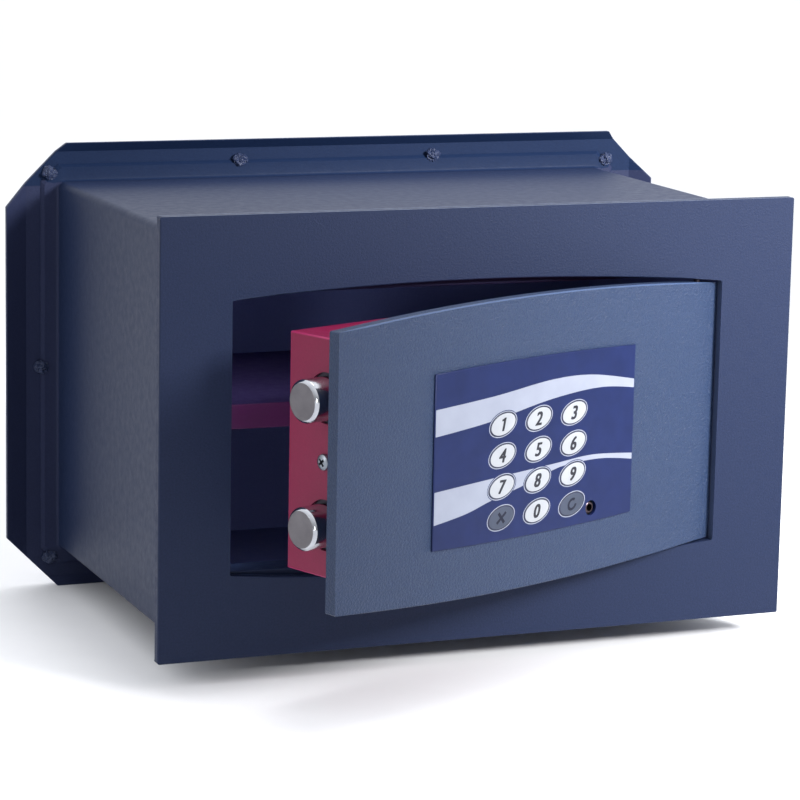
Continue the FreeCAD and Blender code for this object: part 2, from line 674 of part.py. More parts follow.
def case_screws():
    """Pan-head screws through the case's back into the pillars."""
    screws = []
    for number, where in enumerate(PILLAR_PLACES, start=1):
        shank = rod(f"case_screw_shank_{number}", "y", where, s.screw_radius,
                    CASE_INNER_BACK - s.screw_grip, CASE_BACK)
        head = rod(f"case_screw_head_{number}", "y", where, s.screw_head, CASE_BACK,
                   CASE_BACK + s.screw_head_thick)
        screws.append(fuse(f"case_screw_{number}", [shank, head]))
    return keep(group("case_screws", screws), swings=True)


def side_screw():
    """Pan-head screw through the case's left wall into the bolt guide."""
    centre = (BOLT_Y, as_size(0))
    head = rod("side_screw_head", "x", centre, s.screw_head, CASE_LEFT - s.screw_head_thick, CASE_LEFT)
    shank = rod("side_screw_shank", "x", centre, s.screw_radius, CASE_LEFT, CASE_INNER_LEFT + s.guide_plate)
    return keep(fuse("side_screw", [head, shank]), swings=True)


def bolt_guide():
    """Channel with two bored walls that carry the bolts."""
    left = CASE_INNER_LEFT
    right = left + s.guide_long
    half = s.guide_height / 2
    top = DOOR_BACK + s.guide_deep
    floor = DOOR_BACK + s.guide_base
    section = [(left, DOOR_BACK), (right, DOOR_BACK),
               (right, top), (right - s.guide_plate, top),
               (right - s.guide_plate, floor), (left + s.guide_plate, floor),
               (left + s.guide_plate, top), (left, top)]
    channel = prism("guide_channel", "z", [(section, {})], -half, half)
    tools = [rod(f"guide_bore_{number}", "x", (BOLT_Y, z), s.bolt_radius + s.running_gap, left, right)
             for number, z in enumerate(BOLT_HEIGHTS, start=1)]
    tools.append(rod("guide_thread", "x", (BOLT_Y, as_size(0)), s.screw_radius, left, left + s.guide_plate))
    return keep(cut("bolt_guide", channel, tools), swings=True)


# ---------------------------------------------------------------- bolts and drive

def bolts():
    """Round locking bolts with a bevelled nose and a tapped tail."""
    for name, z in zip(("bolt_upper", "bolt_lower"), BOLT_HEIGHTS):
        centre = (BOLT_Y, z)
        shoulder = BOLT_LEFT + s.bolt_bevel
        tip_radius = s.bolt_radius - s.bolt_bevel
        nose = taper(name + "_nose", "x", centre, tip_radius, s.bolt_radius, BOLT_LEFT, shoulder)
        barrel = rod(name + "_barrel", "x", centre, s.bolt_radius, shoulder, BAR_LEFT)
        thread = rod(name + "_thread", "x", centre, s.stud_radius, BAR_LEFT - s.stud_long, BAR_LEFT)
        keep(cut(name, fuse(name + "_solid", [nose, barrel]), [thread]), swings=True)


def bolt_bar():
    """Cross bar that ties the two bolts together."""
    half_width = s.bar_width / 2
    half_height = s.bar_height / 2
    bar = block("bar_blank", (BAR_LEFT, BAR_RIGHT), (BOLT_Y - half_width, BOLT_Y + half_width),
                (-half_height, half_height))
    holes = [rod(f"bar_hole_{number}", "x", (BOLT_Y, z), s.stud_radius, BAR_LEFT, BAR_RIGHT)
             for number, z in enumerate(BOLT_HEIGHTS, start=1)]
    return keep(cut("bolt_bar", bar, holes), swings=True)


def bolt_screws():
    """Screws that hold the bolts to the cross bar."""
    screws = []
    for number, z in enumerate(BOLT_HEIGHTS, start=1):
        centre = (BOLT_Y, z)
        shank = rod(f"bolt_screw_shank_{number}", "x", centre, s.stud_radius,
                    BAR_LEFT - s.stud_long, BAR_RIGHT)
        head = rod(f"bolt_screw_head_{number}", "x", centre, s.stud_head,
                   BAR_RIGHT, BAR_RIGHT + s.stud_head_thick)
        screws.append(fuse(f"bolt_screw_{number}", [shank, head]))
    return keep(group("bolt_screws", screws), swings=True)


# Tooth proportions, as shares of the module: a short rack tooth clears a small pinion's root.
RACK_ADDENDUM = 0.7
RACK_DEDENDUM = 1.15
PINION_ADDENDUM = 0.9
PINION_DEDENDUM = 0.95
PRESSURE_ANGLE = math.radians(20)


def toothed_rack():
    """Rack that the pinion drives, teeth towards the rear."""
    module = float(s.gear_module)
    pitch = math.pi * module
    pitch_line = float(PINION_Y - PITCH_RADIUS)
    thick = (pitch - float(s.gear_backlash)) / 2
    slope = math.tan(PRESSURE_ANGLE)
    tip = RACK_ADDENDUM * module
    root = RACK_DEDENDUM * module
    start = float(BAR_RIGHT)
    # a gap of the rack faces the pinion's centre, where a tooth of the pinion points
    first_gap = float(PINION_X) - pitch * math.floor((float(PINION_X) - start) / pitch)
    end = first_gap + pitch * float(s.rack_teeth)
    back = pitch_line - root - float(s.rack_back)
    outline = [(start, back), (end, back), (end, pitch_line - root)]
    for tooth in reversed(range(int(s.rack_teeth))):
        centre = first_gap + pitch * (tooth + 0.5)
        for side in SIDES:
            foot = (centre + side * (thick / 2 + root * slope), pitch_line - root)
            crest = (centre + side * (thick / 2 - tip * slope), pitch_line + tip)
            outline += [foot, crest] if side > 0 else [crest, foot]
    outline.append((start, pitch_line - root))
    low = -float(s.rack_high) / 2
    points = [FreeCAD.Vector(x, y, low) for x, y in outline]
    face = Part.Face(Part.makePolygon(points + points[:1]))
    item = doc.addObject("Part::Feature", "bolt_rack")
    item.Shape = face.extrude(FreeCAD.Vector(0, 0, float(s.rack_high)))
    return keep(item, swings=True)


def involute_tooth(module, teeth):
    """Half-tooth flank points of the pinion, as (radius, half angle), from root to tip."""
    pitch_radius = module * teeth / 2
    base = pitch_radius * math.cos(PRESSURE_ANGLE)
    root = pitch_radius - PINION_DEDENDUM * module
    tip = pitch_radius + PINION_ADDENDUM * module
    thick = (math.pi * module - float(s.gear_backlash)) / 2
    at_pitch = thick / (2 * pitch_radius) + math.tan(PRESSURE_ANGLE) - PRESSURE_ANGLE
    flank = [(root, at_pitch)]
    steps = 5
    for step in range(steps + 1):
        radius = base + (tip - base) * step / steps
        angle = math.acos(base / radius)
        flank.append((radius, at_pitch - (math.tan(angle) - angle)))
    return flank


def pinion():
    """Small gear and its shaft, which the motor turns."""
    teeth = int(s.gear_teeth)
    flank = involute_tooth(float(s.gear_module), teeth)
    centre_x, centre_y = float(PINION_X), float(PINION_Y)
    low = -float(s.gear_wide) / 2
    outline = []
    for tooth in range(teeth):
        middle = -math.pi / 2 + 2 * math.pi * tooth / teeth
        path = [(radius, middle - half) for radius, half in flank]
        path += [(radius, middle + half) for radius, half in reversed(flank)]
        outline += [FreeCAD.Vector(centre_x + radius * math.cos(angle),
                                   centre_y + radius * math.sin(angle), low)
                    for radius, angle in path]
    width = FreeCAD.Vector(0, 0, float(s.gear_wide))
    gear = Part.Face(Part.makePolygon(outline + outline[:1])).extrude(width)
    shaft_low, shaft_high = float(-BRACKET_OUTER - s.stop_wall), float(BRACKET_OUTER + s.shaft_entry)
    shaft = Part.makeCylinder(float(s.shaft_radius), shaft_high - shaft_low,
                              FreeCAD.Vector(centre_x, centre_y, shaft_low))
    item = doc.addObject("Part::Feature", "pinion")
    item.Shape = gear.fuse(shaft).removeSplitter()
    return keep(item, swings=True)


BRACKET_INNER = s.rack_high / 2 + s.bracket_gap
BRACKET_OUTER = BRACKET_INNER + s.bracket_plate


def motor_bracket():
    """Bent bracket with a bearing plate each side of the pinion."""
    left = PINION_X - s.bracket_wide / 2
    right = PINION_X + s.bracket_wide / 2
    far = DOOR_BACK + s.guide_base + s.bracket_deep
    plates = [block(f"{word}_bearing_plate", (left, right), (DOOR_BACK, far), span)
              for word, span in (("upper", (BRACKET_INNER, BRACKET_OUTER)),
                                 ("lower", (-BRACKET_OUTER, -BRACKET_INNER)))]
    foot = block("bracket_foot", (left, -s.foot_end), (DOOR_BACK, DOOR_BACK + s.guide_base),
                 (-s.bracket_foot, s.bracket_foot))
    blank = fuse("bracket_blank", plates + [foot])
    bore = rod("bracket_bore", "z", (PINION_X, PINION_Y), s.shaft_radius + s.running_gap,
               -BRACKET_OUTER, BRACKET_OUTER)
    clear = block("bracket_overhang", (-s.foot_end, right), (DOOR_BACK, DOOR_BACK + s.guide_base),
                  (-BRACKET_OUTER, BRACKET_OUTER))
    return keep(cut("motor_bracket", blank, [bore, clear]), swings=True)


def gear_motor():
    """Motor with built-in reduction, on the bracket's upper plate."""
    centre = (PINION_X, PINION_Y)
    can = rod("motor_can", "z", centre, s.motor_radius, BRACKET_OUTER, BRACKET_OUTER + s.motor_long)
    bore = rod("motor_bore", "z", centre, s.shaft_radius + s.running_gap, BRACKET_OUTER,
               BRACKET_OUTER + s.shaft_entry + s.end_play)
    return keep(cut("gear_motor", can, [bore]), swings=True)


# ---------------------------------------------------------------- electronics and batteries

CONTROL_FRONT = depth(s.control_depth)
CONTROL_BACK = CONTROL_FRONT + s.board_thick


def soldered(name, centre, sides, thick):
    """A component on the back of the control board."""
    x, z = centre
    wide, tall = sides
    return block(name, (x - wide / 2, x + wide / 2), (CONTROL_BACK, CONTROL_BACK + thick),
                 (z - tall / 2, z + tall / 2))


def control_board():
    """Lock controller: a board with its chip, relay and connectors."""
    sheet = block("control_sheet", (s.control_left, s.control_right), (CONTROL_FRONT, CONTROL_BACK),
                  (-s.control_bottom, s.control_top))
    middle = (s.control_left + s.control_right) / 2
    chip = soldered("control_chip", (middle, as_size(0)), (s.chip_wide, s.chip_tall), s.chip_thick)
    relay = soldered("control_relay", (middle + s.relay_over, -s.relay_down),
                     (s.relay_side, s.relay_side), s.relay_thick)
    plug = soldered("control_plug", (middle - s.plug_over, s.plug_up),
                    (s.plug_wide, s.plug_tall), s.plug_thick)
    return keep(fuse("control_board", [sheet, chip, relay, plug]), swings=True)


def board_standoffs():
    """Spacers that carry the control board clear of the keypad's cut-out."""
    inset = s.standoff_inset
    over = s.tray_top + inset * 2
    places = [(s.control_right - inset, -s.control_bottom + inset), (s.control_right - inset, over),
              (s.tray_right + inset, -s.control_bottom + inset), (s.control_left + inset, over)]
    posts = [rod(f"standoff_{number}", "y", where, s.standoff_radius, DOOR_BACK, CONTROL_FRONT)
             for number, where in enumerate(places, start=1)]
    return keep(group("board_standoffs", posts), swings=True)


def ribbon_cable():
    """Flat cable from the keypad board to the control board."""
    start = depth(BOARD_FRONT + s.board_thick)
    x, thick = s.ribbon_x, s.ribbon_thick
    bend = start + (CONTROL_FRONT - start) / 2
    jog = x + s.ribbon_jog
    path = [(x, start), (x + thick, start), (x + thick, bend), (jog, bend), (jog, CONTROL_FRONT),
            (jog - thick, CONTROL_FRONT), (jog - thick, bend + thick), (x, bend + thick)]
    half = s.ribbon_wide / 2
    return keep(prism("ribbon_cable", "z", [(path, {})], -half, half), swings=True)


HOLDER_TOP = s.cell_pitch * 2 + s.holder_wall
HOLDER_FLOOR = CASE_INNER_BACK - 2 * s.cell_radius - s.holder_gap
CELL_HEIGHTS = [s.cell_pitch * (number - 1.5) for number in range(4)]


def battery_holder():
    """Open tray for four cells, fixed inside the case behind the window."""
    outer = block("holder_outer", (s.holder_left, s.holder_right),
                  (HOLDER_FLOOR - s.holder_wall, CASE_INNER_BACK), (-HOLDER_TOP, HOLDER_TOP))
    inner_top = HOLDER_TOP - s.holder_wall
    inside = block("holder_inside", (s.holder_left + s.holder_wall, s.holder_right - s.holder_wall),
                   (HOLDER_FLOOR, CASE_INNER_BACK), (-inner_top, inner_top))
    return keep(cut("battery_holder", outer, [inside]), swings=True)


def batteries():
    """Four round cells, turned about end for end."""
    middle = (s.holder_left + s.holder_right) / 2
    y = HOLDER_FLOOR + s.cell_radius
    cells = []
    for number, z in enumerate(CELL_HEIGHTS):
        low, high = middle - s.cell_long / 2, middle + s.cell_long / 2
        can = rod(f"cell_can_{number}", "x", (y, z), s.cell_radius, low, high)
        span = (high, high + s.nub_long) if number % 2 else (low - s.nub_long, low)
        nub = rod(f"cell_nub_{number}", "x", (y, z), s.nub_radius, *span)
        cells.append(fuse(f"cell_{number}", [can, nub]))
    return keep(group("batteries", cells), swings=True)


def battery_lid():
    """Cover that slides in the case's rails, with a ridged finger grip."""
    low, high = s.window_left - s.lid_lap, s.window_right + s.lid_lap
    back = LID_FRONT + s.lid_thick
    sheet = block("lid_sheet", (low, high), (LID_FRONT, back), (-LID_TOP, LID_TOP))
    ridges = []
    for number in range(int(s.ridges)):
        start = low + s.ridge_inset + s.ridge_pitch * number
        ridges.append(block(f"lid_ridge_{number}", (start, start + s.ridge_wide),
                            (back, back + s.ridge_high), (-s.lid_grip, s.lid_grip)))
    return keep(fuse("battery_lid", [sheet] + ridges), swings=True)


# ---------------------------------------------------------------- build, check and write

def build():
    front_plate()
    shell = box_shell()
    plate = rear_plate()
    weld_spots(shell, plate)
    for make in (door_stops, bolt_keeper, hinge_blocks, shelf, shelf_supports,
                 door_plate, hinge_pins, keypad_frame, keypad_board, jack_socket, keys,
                 lock_case, case_pillars, case_screws, side_screw, bolt_guide,
                 bolts, bolt_bar, bolt_screws, toothed_rack, pinion, motor_bracket, gear_motor,
                 control_board, board_standoffs, ribbon_cable, battery_holder, batteries, battery_lid):
        make()
    doc.recompute()


def check():
    """Stop if any object failed, or a sub-part has no valid shape."""
    for item in doc.Objects:
        if "Invalid" in item.State or "Error" in item.State:
            raise RuntimeError(f"{item.Label}: {item.State}")
    for item in sub_parts:
        if item.Shape.isNull() or not item.Shape.isValid() or not item.Shape.Solids:
            raise RuntimeError(f"{item.Label}: bad shape")


build()
check()
os.makedirs("parts", exist_ok=True)
for item in sub_parts:
    item.Shape.exportStep(f"parts/{item.Label}.step")
print(len(sub_parts), "sub-parts written")
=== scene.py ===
"""Built-in wall safe with a keypad door standing part open, two round bolts and a red lock case."""
import json
import math

import bmesh
import bpy
from mathutils import Matrix, Vector
from mathutils.geometry import delaunay_2d_cdt


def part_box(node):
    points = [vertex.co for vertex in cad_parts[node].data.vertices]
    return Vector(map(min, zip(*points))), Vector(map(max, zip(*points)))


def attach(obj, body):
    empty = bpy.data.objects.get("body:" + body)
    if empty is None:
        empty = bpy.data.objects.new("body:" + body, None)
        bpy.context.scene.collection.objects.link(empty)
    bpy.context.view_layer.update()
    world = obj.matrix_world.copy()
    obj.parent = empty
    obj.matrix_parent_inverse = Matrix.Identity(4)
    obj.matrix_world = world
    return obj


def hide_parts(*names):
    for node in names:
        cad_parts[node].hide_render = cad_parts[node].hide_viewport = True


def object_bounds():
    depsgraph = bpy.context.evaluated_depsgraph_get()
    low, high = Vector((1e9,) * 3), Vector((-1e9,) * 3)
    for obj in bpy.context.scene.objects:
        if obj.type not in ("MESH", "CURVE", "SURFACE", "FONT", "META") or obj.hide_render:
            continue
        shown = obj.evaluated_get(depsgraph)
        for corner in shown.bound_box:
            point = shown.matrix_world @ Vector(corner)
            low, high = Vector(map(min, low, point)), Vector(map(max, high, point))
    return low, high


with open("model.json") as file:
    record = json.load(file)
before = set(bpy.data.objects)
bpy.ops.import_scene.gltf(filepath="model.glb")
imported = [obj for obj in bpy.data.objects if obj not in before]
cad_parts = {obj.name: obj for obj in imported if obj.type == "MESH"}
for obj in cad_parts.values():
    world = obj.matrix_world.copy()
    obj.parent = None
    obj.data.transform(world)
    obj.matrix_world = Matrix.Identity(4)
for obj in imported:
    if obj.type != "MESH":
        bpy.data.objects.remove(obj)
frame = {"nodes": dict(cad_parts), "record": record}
cad_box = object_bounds()

MM = 0.001
HINGE = Vector((0.107, -0.197, 0))
DOOR_ANGLE = math.radians(21.58)
# what is drawn on the shut door is turned with it about the hinge
OPENED = (Matrix.Translation(HINGE) @ Matrix.Rotation(DOOR_ANGLE, 4, "Z")
          @ Matrix.Translation(-HINGE))
SHUT = OPENED.inverted()
PLATE_FACE = -0.200
PANEL_FACE = PLATE_FACE - 1.0 * MM
KEY_FACE = PLATE_FACE - 1.35 * MM
ROUNDING_STEPS = 3
SQUARE = ((-1, -1), (1, -1), (1, 1), (-1, 1))


# ---------------------------------------------------------------- finishes

def srgb(red, green, blue):
    """A colour given in everyday 0 to 255 steps, as the shader wants it."""
    def linear(step):
        share = step / 255
        return share / 12.92 if share <= 0.04045 else ((share + 0.055) / 1.055) ** 2.4
    return (linear(red), linear(green), linear(blue), 1.0)


class Finish:
    """A surface built up from its base colour, its variation and its relief."""

    def __init__(self, name, colour, roughness, metallic=0.0):
        self.material = bpy.data.materials.new(name)
        self.material.use_nodes = True
        self.tree = self.material.node_tree
        self.shader = self.tree.nodes["Principled BSDF"]
        self.shader.inputs["Base Color"].default_value = colour
        self.shader.inputs["Roughness"].default_value = roughness
        self.shader.inputs["Metallic"].default_value = metallic
        self.place = self.tree.nodes.new("ShaderNodeTexCoord").outputs["Object"]
        self.relief = None

    def mottle(self, scale, detail=3.0, roughness=0.5, stretch=None):
        """Cloudy noise with features about 1/scale metres across, stretched along an axis if asked."""
        source = self.place
        if stretch:
            mapping = self.tree.nodes.new("ShaderNodeMapping")
            mapping.inputs["Scale"].default_value = stretch
            self.tree.links.new(source, mapping.inputs["Vector"])
            source = mapping.outputs["Vector"]
        noise = self.tree.nodes.new("ShaderNodeTexNoise")
        noise.inputs["Scale"].default_value = scale
        noise.inputs["Detail"].default_value = detail
        noise.inputs["Roughness"].default_value = roughness
        self.tree.links.new(source, noise.inputs["Vector"])
        return noise.outputs["Fac"]

    def tint(self, pattern, dark, light, low=0.3, high=0.7):
        """The base colour runs from dark to light with the pattern."""
        ramp = self.tree.nodes.new("ShaderNodeValToRGB")
        ramp.color_ramp.elements[0].position = low
        ramp.color_ramp.elements[0].color = dark
        ramp.color_ramp.elements[1].position = high
        ramp.color_ramp.elements[1].color = light
        self.tree.links.new(pattern, ramp.inputs["Fac"])
        self.tree.links.new(ramp.outputs["Color"], self.shader.inputs["Base Color"])
        return self

    def sheen(self, pattern, smooth, rough):
        """The roughness runs between two values with the pattern."""
        spread = self.tree.nodes.new("ShaderNodeMapRange")
        spread.inputs["From Min"].default_value = 0.3
        spread.inputs["From Max"].default_value = 0.7
        spread.inputs["To Min"].default_value = smooth
        spread.inputs["To Max"].default_value = rough
        self.tree.links.new(pattern, spread.inputs["Value"])
        self.tree.links.new(spread.outputs["Result"], self.shader.inputs["Roughness"])
        return self

    def raise_by(self, pattern, height, strength=1.0):
        """Relief of that height in metres; a second call adds to the first."""
        bump = self.tree.nodes.new("ShaderNodeBump")
        bump.inputs["Distance"].default_value = height
        bump.inputs["Strength"].default_value = strength
        self.tree.links.new(pattern, bump.inputs["Height"])
        if self.relief:
            self.tree.links.new(self.relief, bump.inputs["Normal"])
        self.relief = bump.outputs["Normal"]
        self.tree.links.new(self.relief, self.shader.inputs["Normal"])
        return self


def textured_paint(name, dark, light, smooth, rough, peel, grain, gloss=0.3):
    """Baked paint with orange peel and a finer grain."""
    paint = Finish(name, light, rough)
    paint.shader.inputs["Specular IOR Level"].default_value = gloss
    paint.tint(paint.mottle(1100, 6, 0.75), dark, light, 0.28, 0.72)
    paint.sheen(paint.mottle(240), smooth, rough)
    paint.raise_by(paint.mottle(1000, 2), peel)
    paint.raise_by(paint.mottle(2600, 3, 0.6), grain)
    return paint.material


def brushed_metal(name, dark, light, smooth, rough, stretch, scratch=0.00001):
    """Plated or turned steel with fine drawn lines along its length."""
    metal = Finish(name, light, rough, metallic=1.0)
    lines = metal.mottle(500, 4, 0.6, stretch)
    metal.tint(metal.mottle(120, 3), dark, light)
    metal.sheen(lines, smooth, rough)
    metal.raise_by(lines, scratch, 0.4)
    return metal.material


def moulded(name, dark, light, smooth, rough, grain=0.00001, gloss=0.5):
    """Moulded plastic with a faint unevenness."""
    plastic = Finish(name, light, rough)
    plastic.shader.inputs["Specular IOR Level"].default_value = gloss
    plastic.tint(plastic.mottle(90, 3), dark, light)
    plastic.sheen(plastic.mottle(300), smooth, rough)
    plastic.raise_by(plastic.mottle(1800, 2), grain, 0.5)
    return plastic.material


FINISHES = {
    "plate_paint": textured_paint("plate_paint", srgb(24, 33, 56), srgb(34, 44, 72),
                                  0.42, 0.56, 0.00010, 0.00009, 0.15),
    "door_paint": textured_paint("door_paint", srgb(31, 45, 71), srgb(44, 60, 90),
                                 0.3, 0.42, 0.00055, 0.00022, 0.3),
    # inside of the box: a much lighter, more violet copy of the box paint, a painted light
    "box_inside": textured_paint("box_inside", srgb(84, 93, 146), srgb(94, 103, 158),
                                 0.5, 0.6, 0.00006, 0.00003, 0.2),
    "box_paint": textured_paint("box_paint", srgb(26, 35, 60), srgb(33, 44, 71),
                                0.4, 0.5, 0.00008, 0.00003, 0.17),
    "red_paint": textured_paint("red_paint", srgb(112, 14, 54), srgb(126, 18, 62),
                                0.3, 0.4, 0.00003, 0.00001, 0.3),
    "keypad_blue": moulded("keypad_blue", srgb(12, 26, 68), srgb(17, 31, 76), 0.38, 0.48, gloss=0.25),
    "key_white": moulded("key_white", srgb(152, 155, 161), srgb(160, 163, 168), 0.36, 0.46, gloss=0.3),
    "key_grey": moulded("key_grey", srgb(46, 54, 72), srgb(56, 64, 82), 0.36, 0.46),
    "bolt_chrome": brushed_metal("bolt_chrome", srgb(176, 178, 186), srgb(206, 208, 214),
                                 0.1, 0.2, (1, 14, 14)),
    "zinc_steel": brushed_metal("zinc_steel", srgb(126, 132, 142), srgb(158, 164, 172),
                                0.25, 0.42, (1, 8, 8)),
    "jack_metal": brushed_metal("jack_metal", srgb(72, 62, 68), srgb(90, 78, 82), 0.24, 0.38, (6, 1, 6)),
    "motor_steel": brushed_metal("motor_steel", srgb(126, 130, 134), srgb(160, 164, 168),
                                 0.28, 0.44, (1, 9, 9)),
    "brass_gear": brushed_metal("brass_gear", srgb(172, 128, 62), srgb(206, 166, 92), 0.24, 0.4, (9, 9, 1)),
    "circuit_board": moulded("circuit_board", srgb(14, 66, 38), srgb(24, 92, 54), 0.28, 0.42),
    "black_plastic": moulded("black_plastic", srgb(18, 18, 20), srgb(32, 32, 35), 0.4, 0.58, 0.00003),
    "ribbon_grey": moulded("ribbon_grey", srgb(130, 132, 136), srgb(156, 158, 162), 0.4, 0.5),
    "cell_wrap": moulded("cell_wrap", srgb(38, 40, 44), srgb(62, 64, 70), 0.22, 0.34),
}
BOLT_END = brushed_metal("bolt_end", srgb(106, 103, 107), srgb(120, 117, 121), 0.34, 0.44, (1, 3, 3))
NUMERAL_INK = moulded("numeral_ink", srgb(8, 9, 20), srgb(16, 18, 34), 0.4, 0.55)
SYMBOL_INK = moulded("symbol_ink", srgb(12, 16, 34), srgb(18, 23, 44), 0.5, 0.65, gloss=0.3)
PALE_PRINT = moulded("pale_print", srgb(134, 139, 154), srgb(141, 146, 161), 0.38, 0.48, gloss=0.3)
# shelf lip: a darker, purpler copy of the red paint, a painted shade
SHADED_SHELF_LIP = textured_paint("shelf_lip", srgb(62, 21, 62), srgb(70, 24, 69), 0.4, 0.5, 0.00003, 0.00001, 0.3)
# shelf top: a lighter, violet copy of the red paint, a painted light
LIT_SHELF_TOP = textured_paint("shelf_top", srgb(66, 56, 104), srgb(74, 62, 114), 0.5, 0.6, 0.00003, 0.00001, 0.2)
# upper door stop: a darker, bluer copy of the box paint, a painted shade
UPPER_STOP_PAINTED_SHADE = textured_paint("upper_stop_painted_shade", srgb(30, 28, 56), srgb(36, 34, 64), 0.5, 0.6, 0.00006, 0.00003, 0.1)
# weld beads: a lighter, glossier copy of the box paint; the lighter colour is a painted highlight
LIGHTENED_WELD_PAINT = textured_paint("weld_paint_painted_highlight", srgb(30, 39, 64), srgb(44, 54, 84),
                            0.32, 0.44, 0.00020, 0.00008, 0.3)
# rim sides: a lighter copy of the box paint, a painted light
RIM_SIDE_PAINTED_LIGHT = textured_paint("rim_side_painted_light", srgb(35, 40, 64), srgb(41, 47, 73), 0.42, 0.52, 0.00008, 0.00003, 0.1)
# right wall of the door opening: a much lighter copy of the plate paint, a painted light on a wall in the
# door's shade
LIT_OPENING_WALL = textured_paint("opening_wall_painted_light", srgb(62, 74, 102), srgb(72, 84, 114),
                              0.42, 0.56, 0.00008, 0.00005, 0.2)
# rim top: a darker copy of the box paint, a painted shade
RIM_TOP_PAINTED_SHADE = textured_paint("rim_top_painted_shade", srgb(19, 31, 56), srgb(24, 38, 66), 0.45, 0.55, 0.00008, 0.00003, 0.06)
# rounded top edge of the front plate: a lighter copy of the plate paint, a painted highlight
PLATE_EDGE_HIGHLIGHT = textured_paint("plate_edge_painted_highlight", srgb(92, 106, 134), srgb(112, 126, 154),
                            0.3, 0.4, 0.00006, 0.00003, 0.4)
# rounded top edges of the door: a lighter copy of the door paint, a painted highlight
DOOR_EDGE_HIGHLIGHT = textured_paint("door_edge_painted_highlight", srgb(52, 68, 100), srgb(64, 82, 114), 0.3, 0.4, 0.00006, 0.00003, 0.4)
# rounded edges of the lock case: a lighter, pinker copy of the red paint, a painted highlight
CASE_EDGE_HIGHLIGHT = textured_paint("case_edge_painted_highlight", srgb(142, 32, 78), srgb(158, 42, 90),
                           0.28, 0.36, 0.00002, 0.00001, 0.4)
# darker steel: on the bolt guide a painted shade for the hole it sits behind; the hinge pins take the same
# steel
DARK_STEEL_AND_SHADE = brushed_metal("dark_steel_and_painted_shade", srgb(44, 40, 48), srgb(62, 58, 66), 0.3, 0.45, (1, 6, 6))
# dark navy for the screws' cross recesses, a painted shade
SCREW_RECESS_SHADE = moulded("screw_recess_painted_shade", srgb(16, 18, 30), srgb(24, 26, 40), 0.5, 0.7)
# box paint, its lighter inside copy (painted light), the darker rim top (painted shade) and the lighter rim
# sides (painted light)
BOX_FINISHES = [FINISHES["box_paint"], FINISHES["box_inside"], RIM_TOP_PAINTED_SHADE, RIM_SIDE_PAINTED_LIGHT]
OWN_FINISHES = {"hinge_pins": DARK_STEEL_AND_SHADE, "bolt_guide": DARK_STEEL_AND_SHADE}
RECESS_SHADE = moulded("recess_shade", srgb(22, 26, 52), srgb(32, 38, 66), 0.5, 0.7)


# ---------------------------------------------------------------- making pieces

def finish_nodes():
    """Give each node that is still shown its own finish, by the slot that the record names."""
    slots = {part["node"]: part["material_slot"] for part in frame["record"]["subparts"]}
    for name, item in frame["nodes"].items():
        if not item.hide_render:
            item.data.materials.clear()
            item.data.materials.append(OWN_FINISHES.get(name, FINISHES[slots[name]]))


def as_data(name, mesh):
    """Plain mesh data from a mesh being edited, which is then let go."""
    data = bpy.data.meshes.new(name)
    mesh.to_mesh(data)
    mesh.free()
    return data


def placed(name, data):
    """A new object in the scene that holds the data."""
    item = bpy.data.objects.new(name, data)
    bpy.context.scene.collection.objects.link(item)
    return item


def evaluated(item, **settings):
    """An object's mesh as its modifiers or its curve make it."""
    bpy.context.view_layer.update()
    graph = bpy.context.evaluated_depsgraph_get()
    return bpy.data.meshes.new_from_object(item.evaluated_get(graph), depsgraph=graph, **settings)


def extent(places):
    """The lowest and the highest corner of the box round some places."""
    return (Vector([min(place[axis] for place in places) for axis in range(3)]),
            Vector([max(place[axis] for place in places) for axis in range(3)]))


def own(name, mesh, materials, body, stands_for=()):
    """Turn a mesh being edited into a named piece that rides on its body."""
    return own_data(name, as_data(name, mesh), materials, body, stands_for)


def own_data(name, data, materials, body, stands_for=()):
    """Show plain mesh data as a named piece that rides on its body; a tree may have painted it already."""
    piece = placed(name, data)
    for material in materials:
        data.materials.append(material)
    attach(piece, body)
    if stands_for:
        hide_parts(*stands_for)
    return piece


def cad_copy(node, swings=False):
    """A node's mesh with its doubled corners merged and its flat faces joined; shut, if it swings."""
    mesh = bmesh.new()
    mesh.from_mesh(frame["nodes"][node].data)
    if swings:
        mesh.transform(SHUT)
    bmesh.ops.remove_doubles(mesh, verts=mesh.verts, dist=2e-6)
    bmesh.ops.dissolve_limit(mesh, angle_limit=math.radians(0.3), verts=mesh.verts, edges=mesh.edges)
    return mesh


def inside_box(point, box):
    """Whether a point lies between a box's lowest and highest corners."""
    return all(low <= value <= high for low, value, high in zip(box[0], point, box[1]))


def soften(mesh, radius, shortest, spared=None):
    """Round the long convex edges of a mesh, but none inside a spared box."""
    for face in mesh.faces:
        face.smooth = False
    edges = [edge for edge in mesh.edges
             if len(edge.link_faces) == 2 and edge.is_convex and edge.calc_length() > shortest
             and edge.calc_face_angle() > math.radians(40)
             and not (spared and inside_box((edge.verts[0].co + edge.verts[1].co) / 2, spared))]
    made = bmesh.ops.bevel(mesh, geom=edges, offset=radius, offset_type="OFFSET", segments=ROUNDING_STEPS,
                           profile=0.5, affect="EDGES", clamp_overlap=False)
    for face in made["faces"]:
        face.smooth = True
    return mesh


def softened(node, body, slot, radius, shortest, swings=False, edge=None, above=-1.0, spared=None):
    """A piece that stands for a node, with its long edges rounded, and a lighter paint on the rounded edges
    above a height, a painted highlight.
    """
    mesh = soften(cad_copy(node, swings), radius, shortest, spared)
    for face in mesh.faces:
        if edge and face.smooth and face.calc_center_median().z > above:
            face.material_index = 1
    if swings:
        mesh.transform(OPENED)
    return own(node + "_rounded", mesh, [FINISHES[slot]] + ([edge] if edge else []), body, [node])


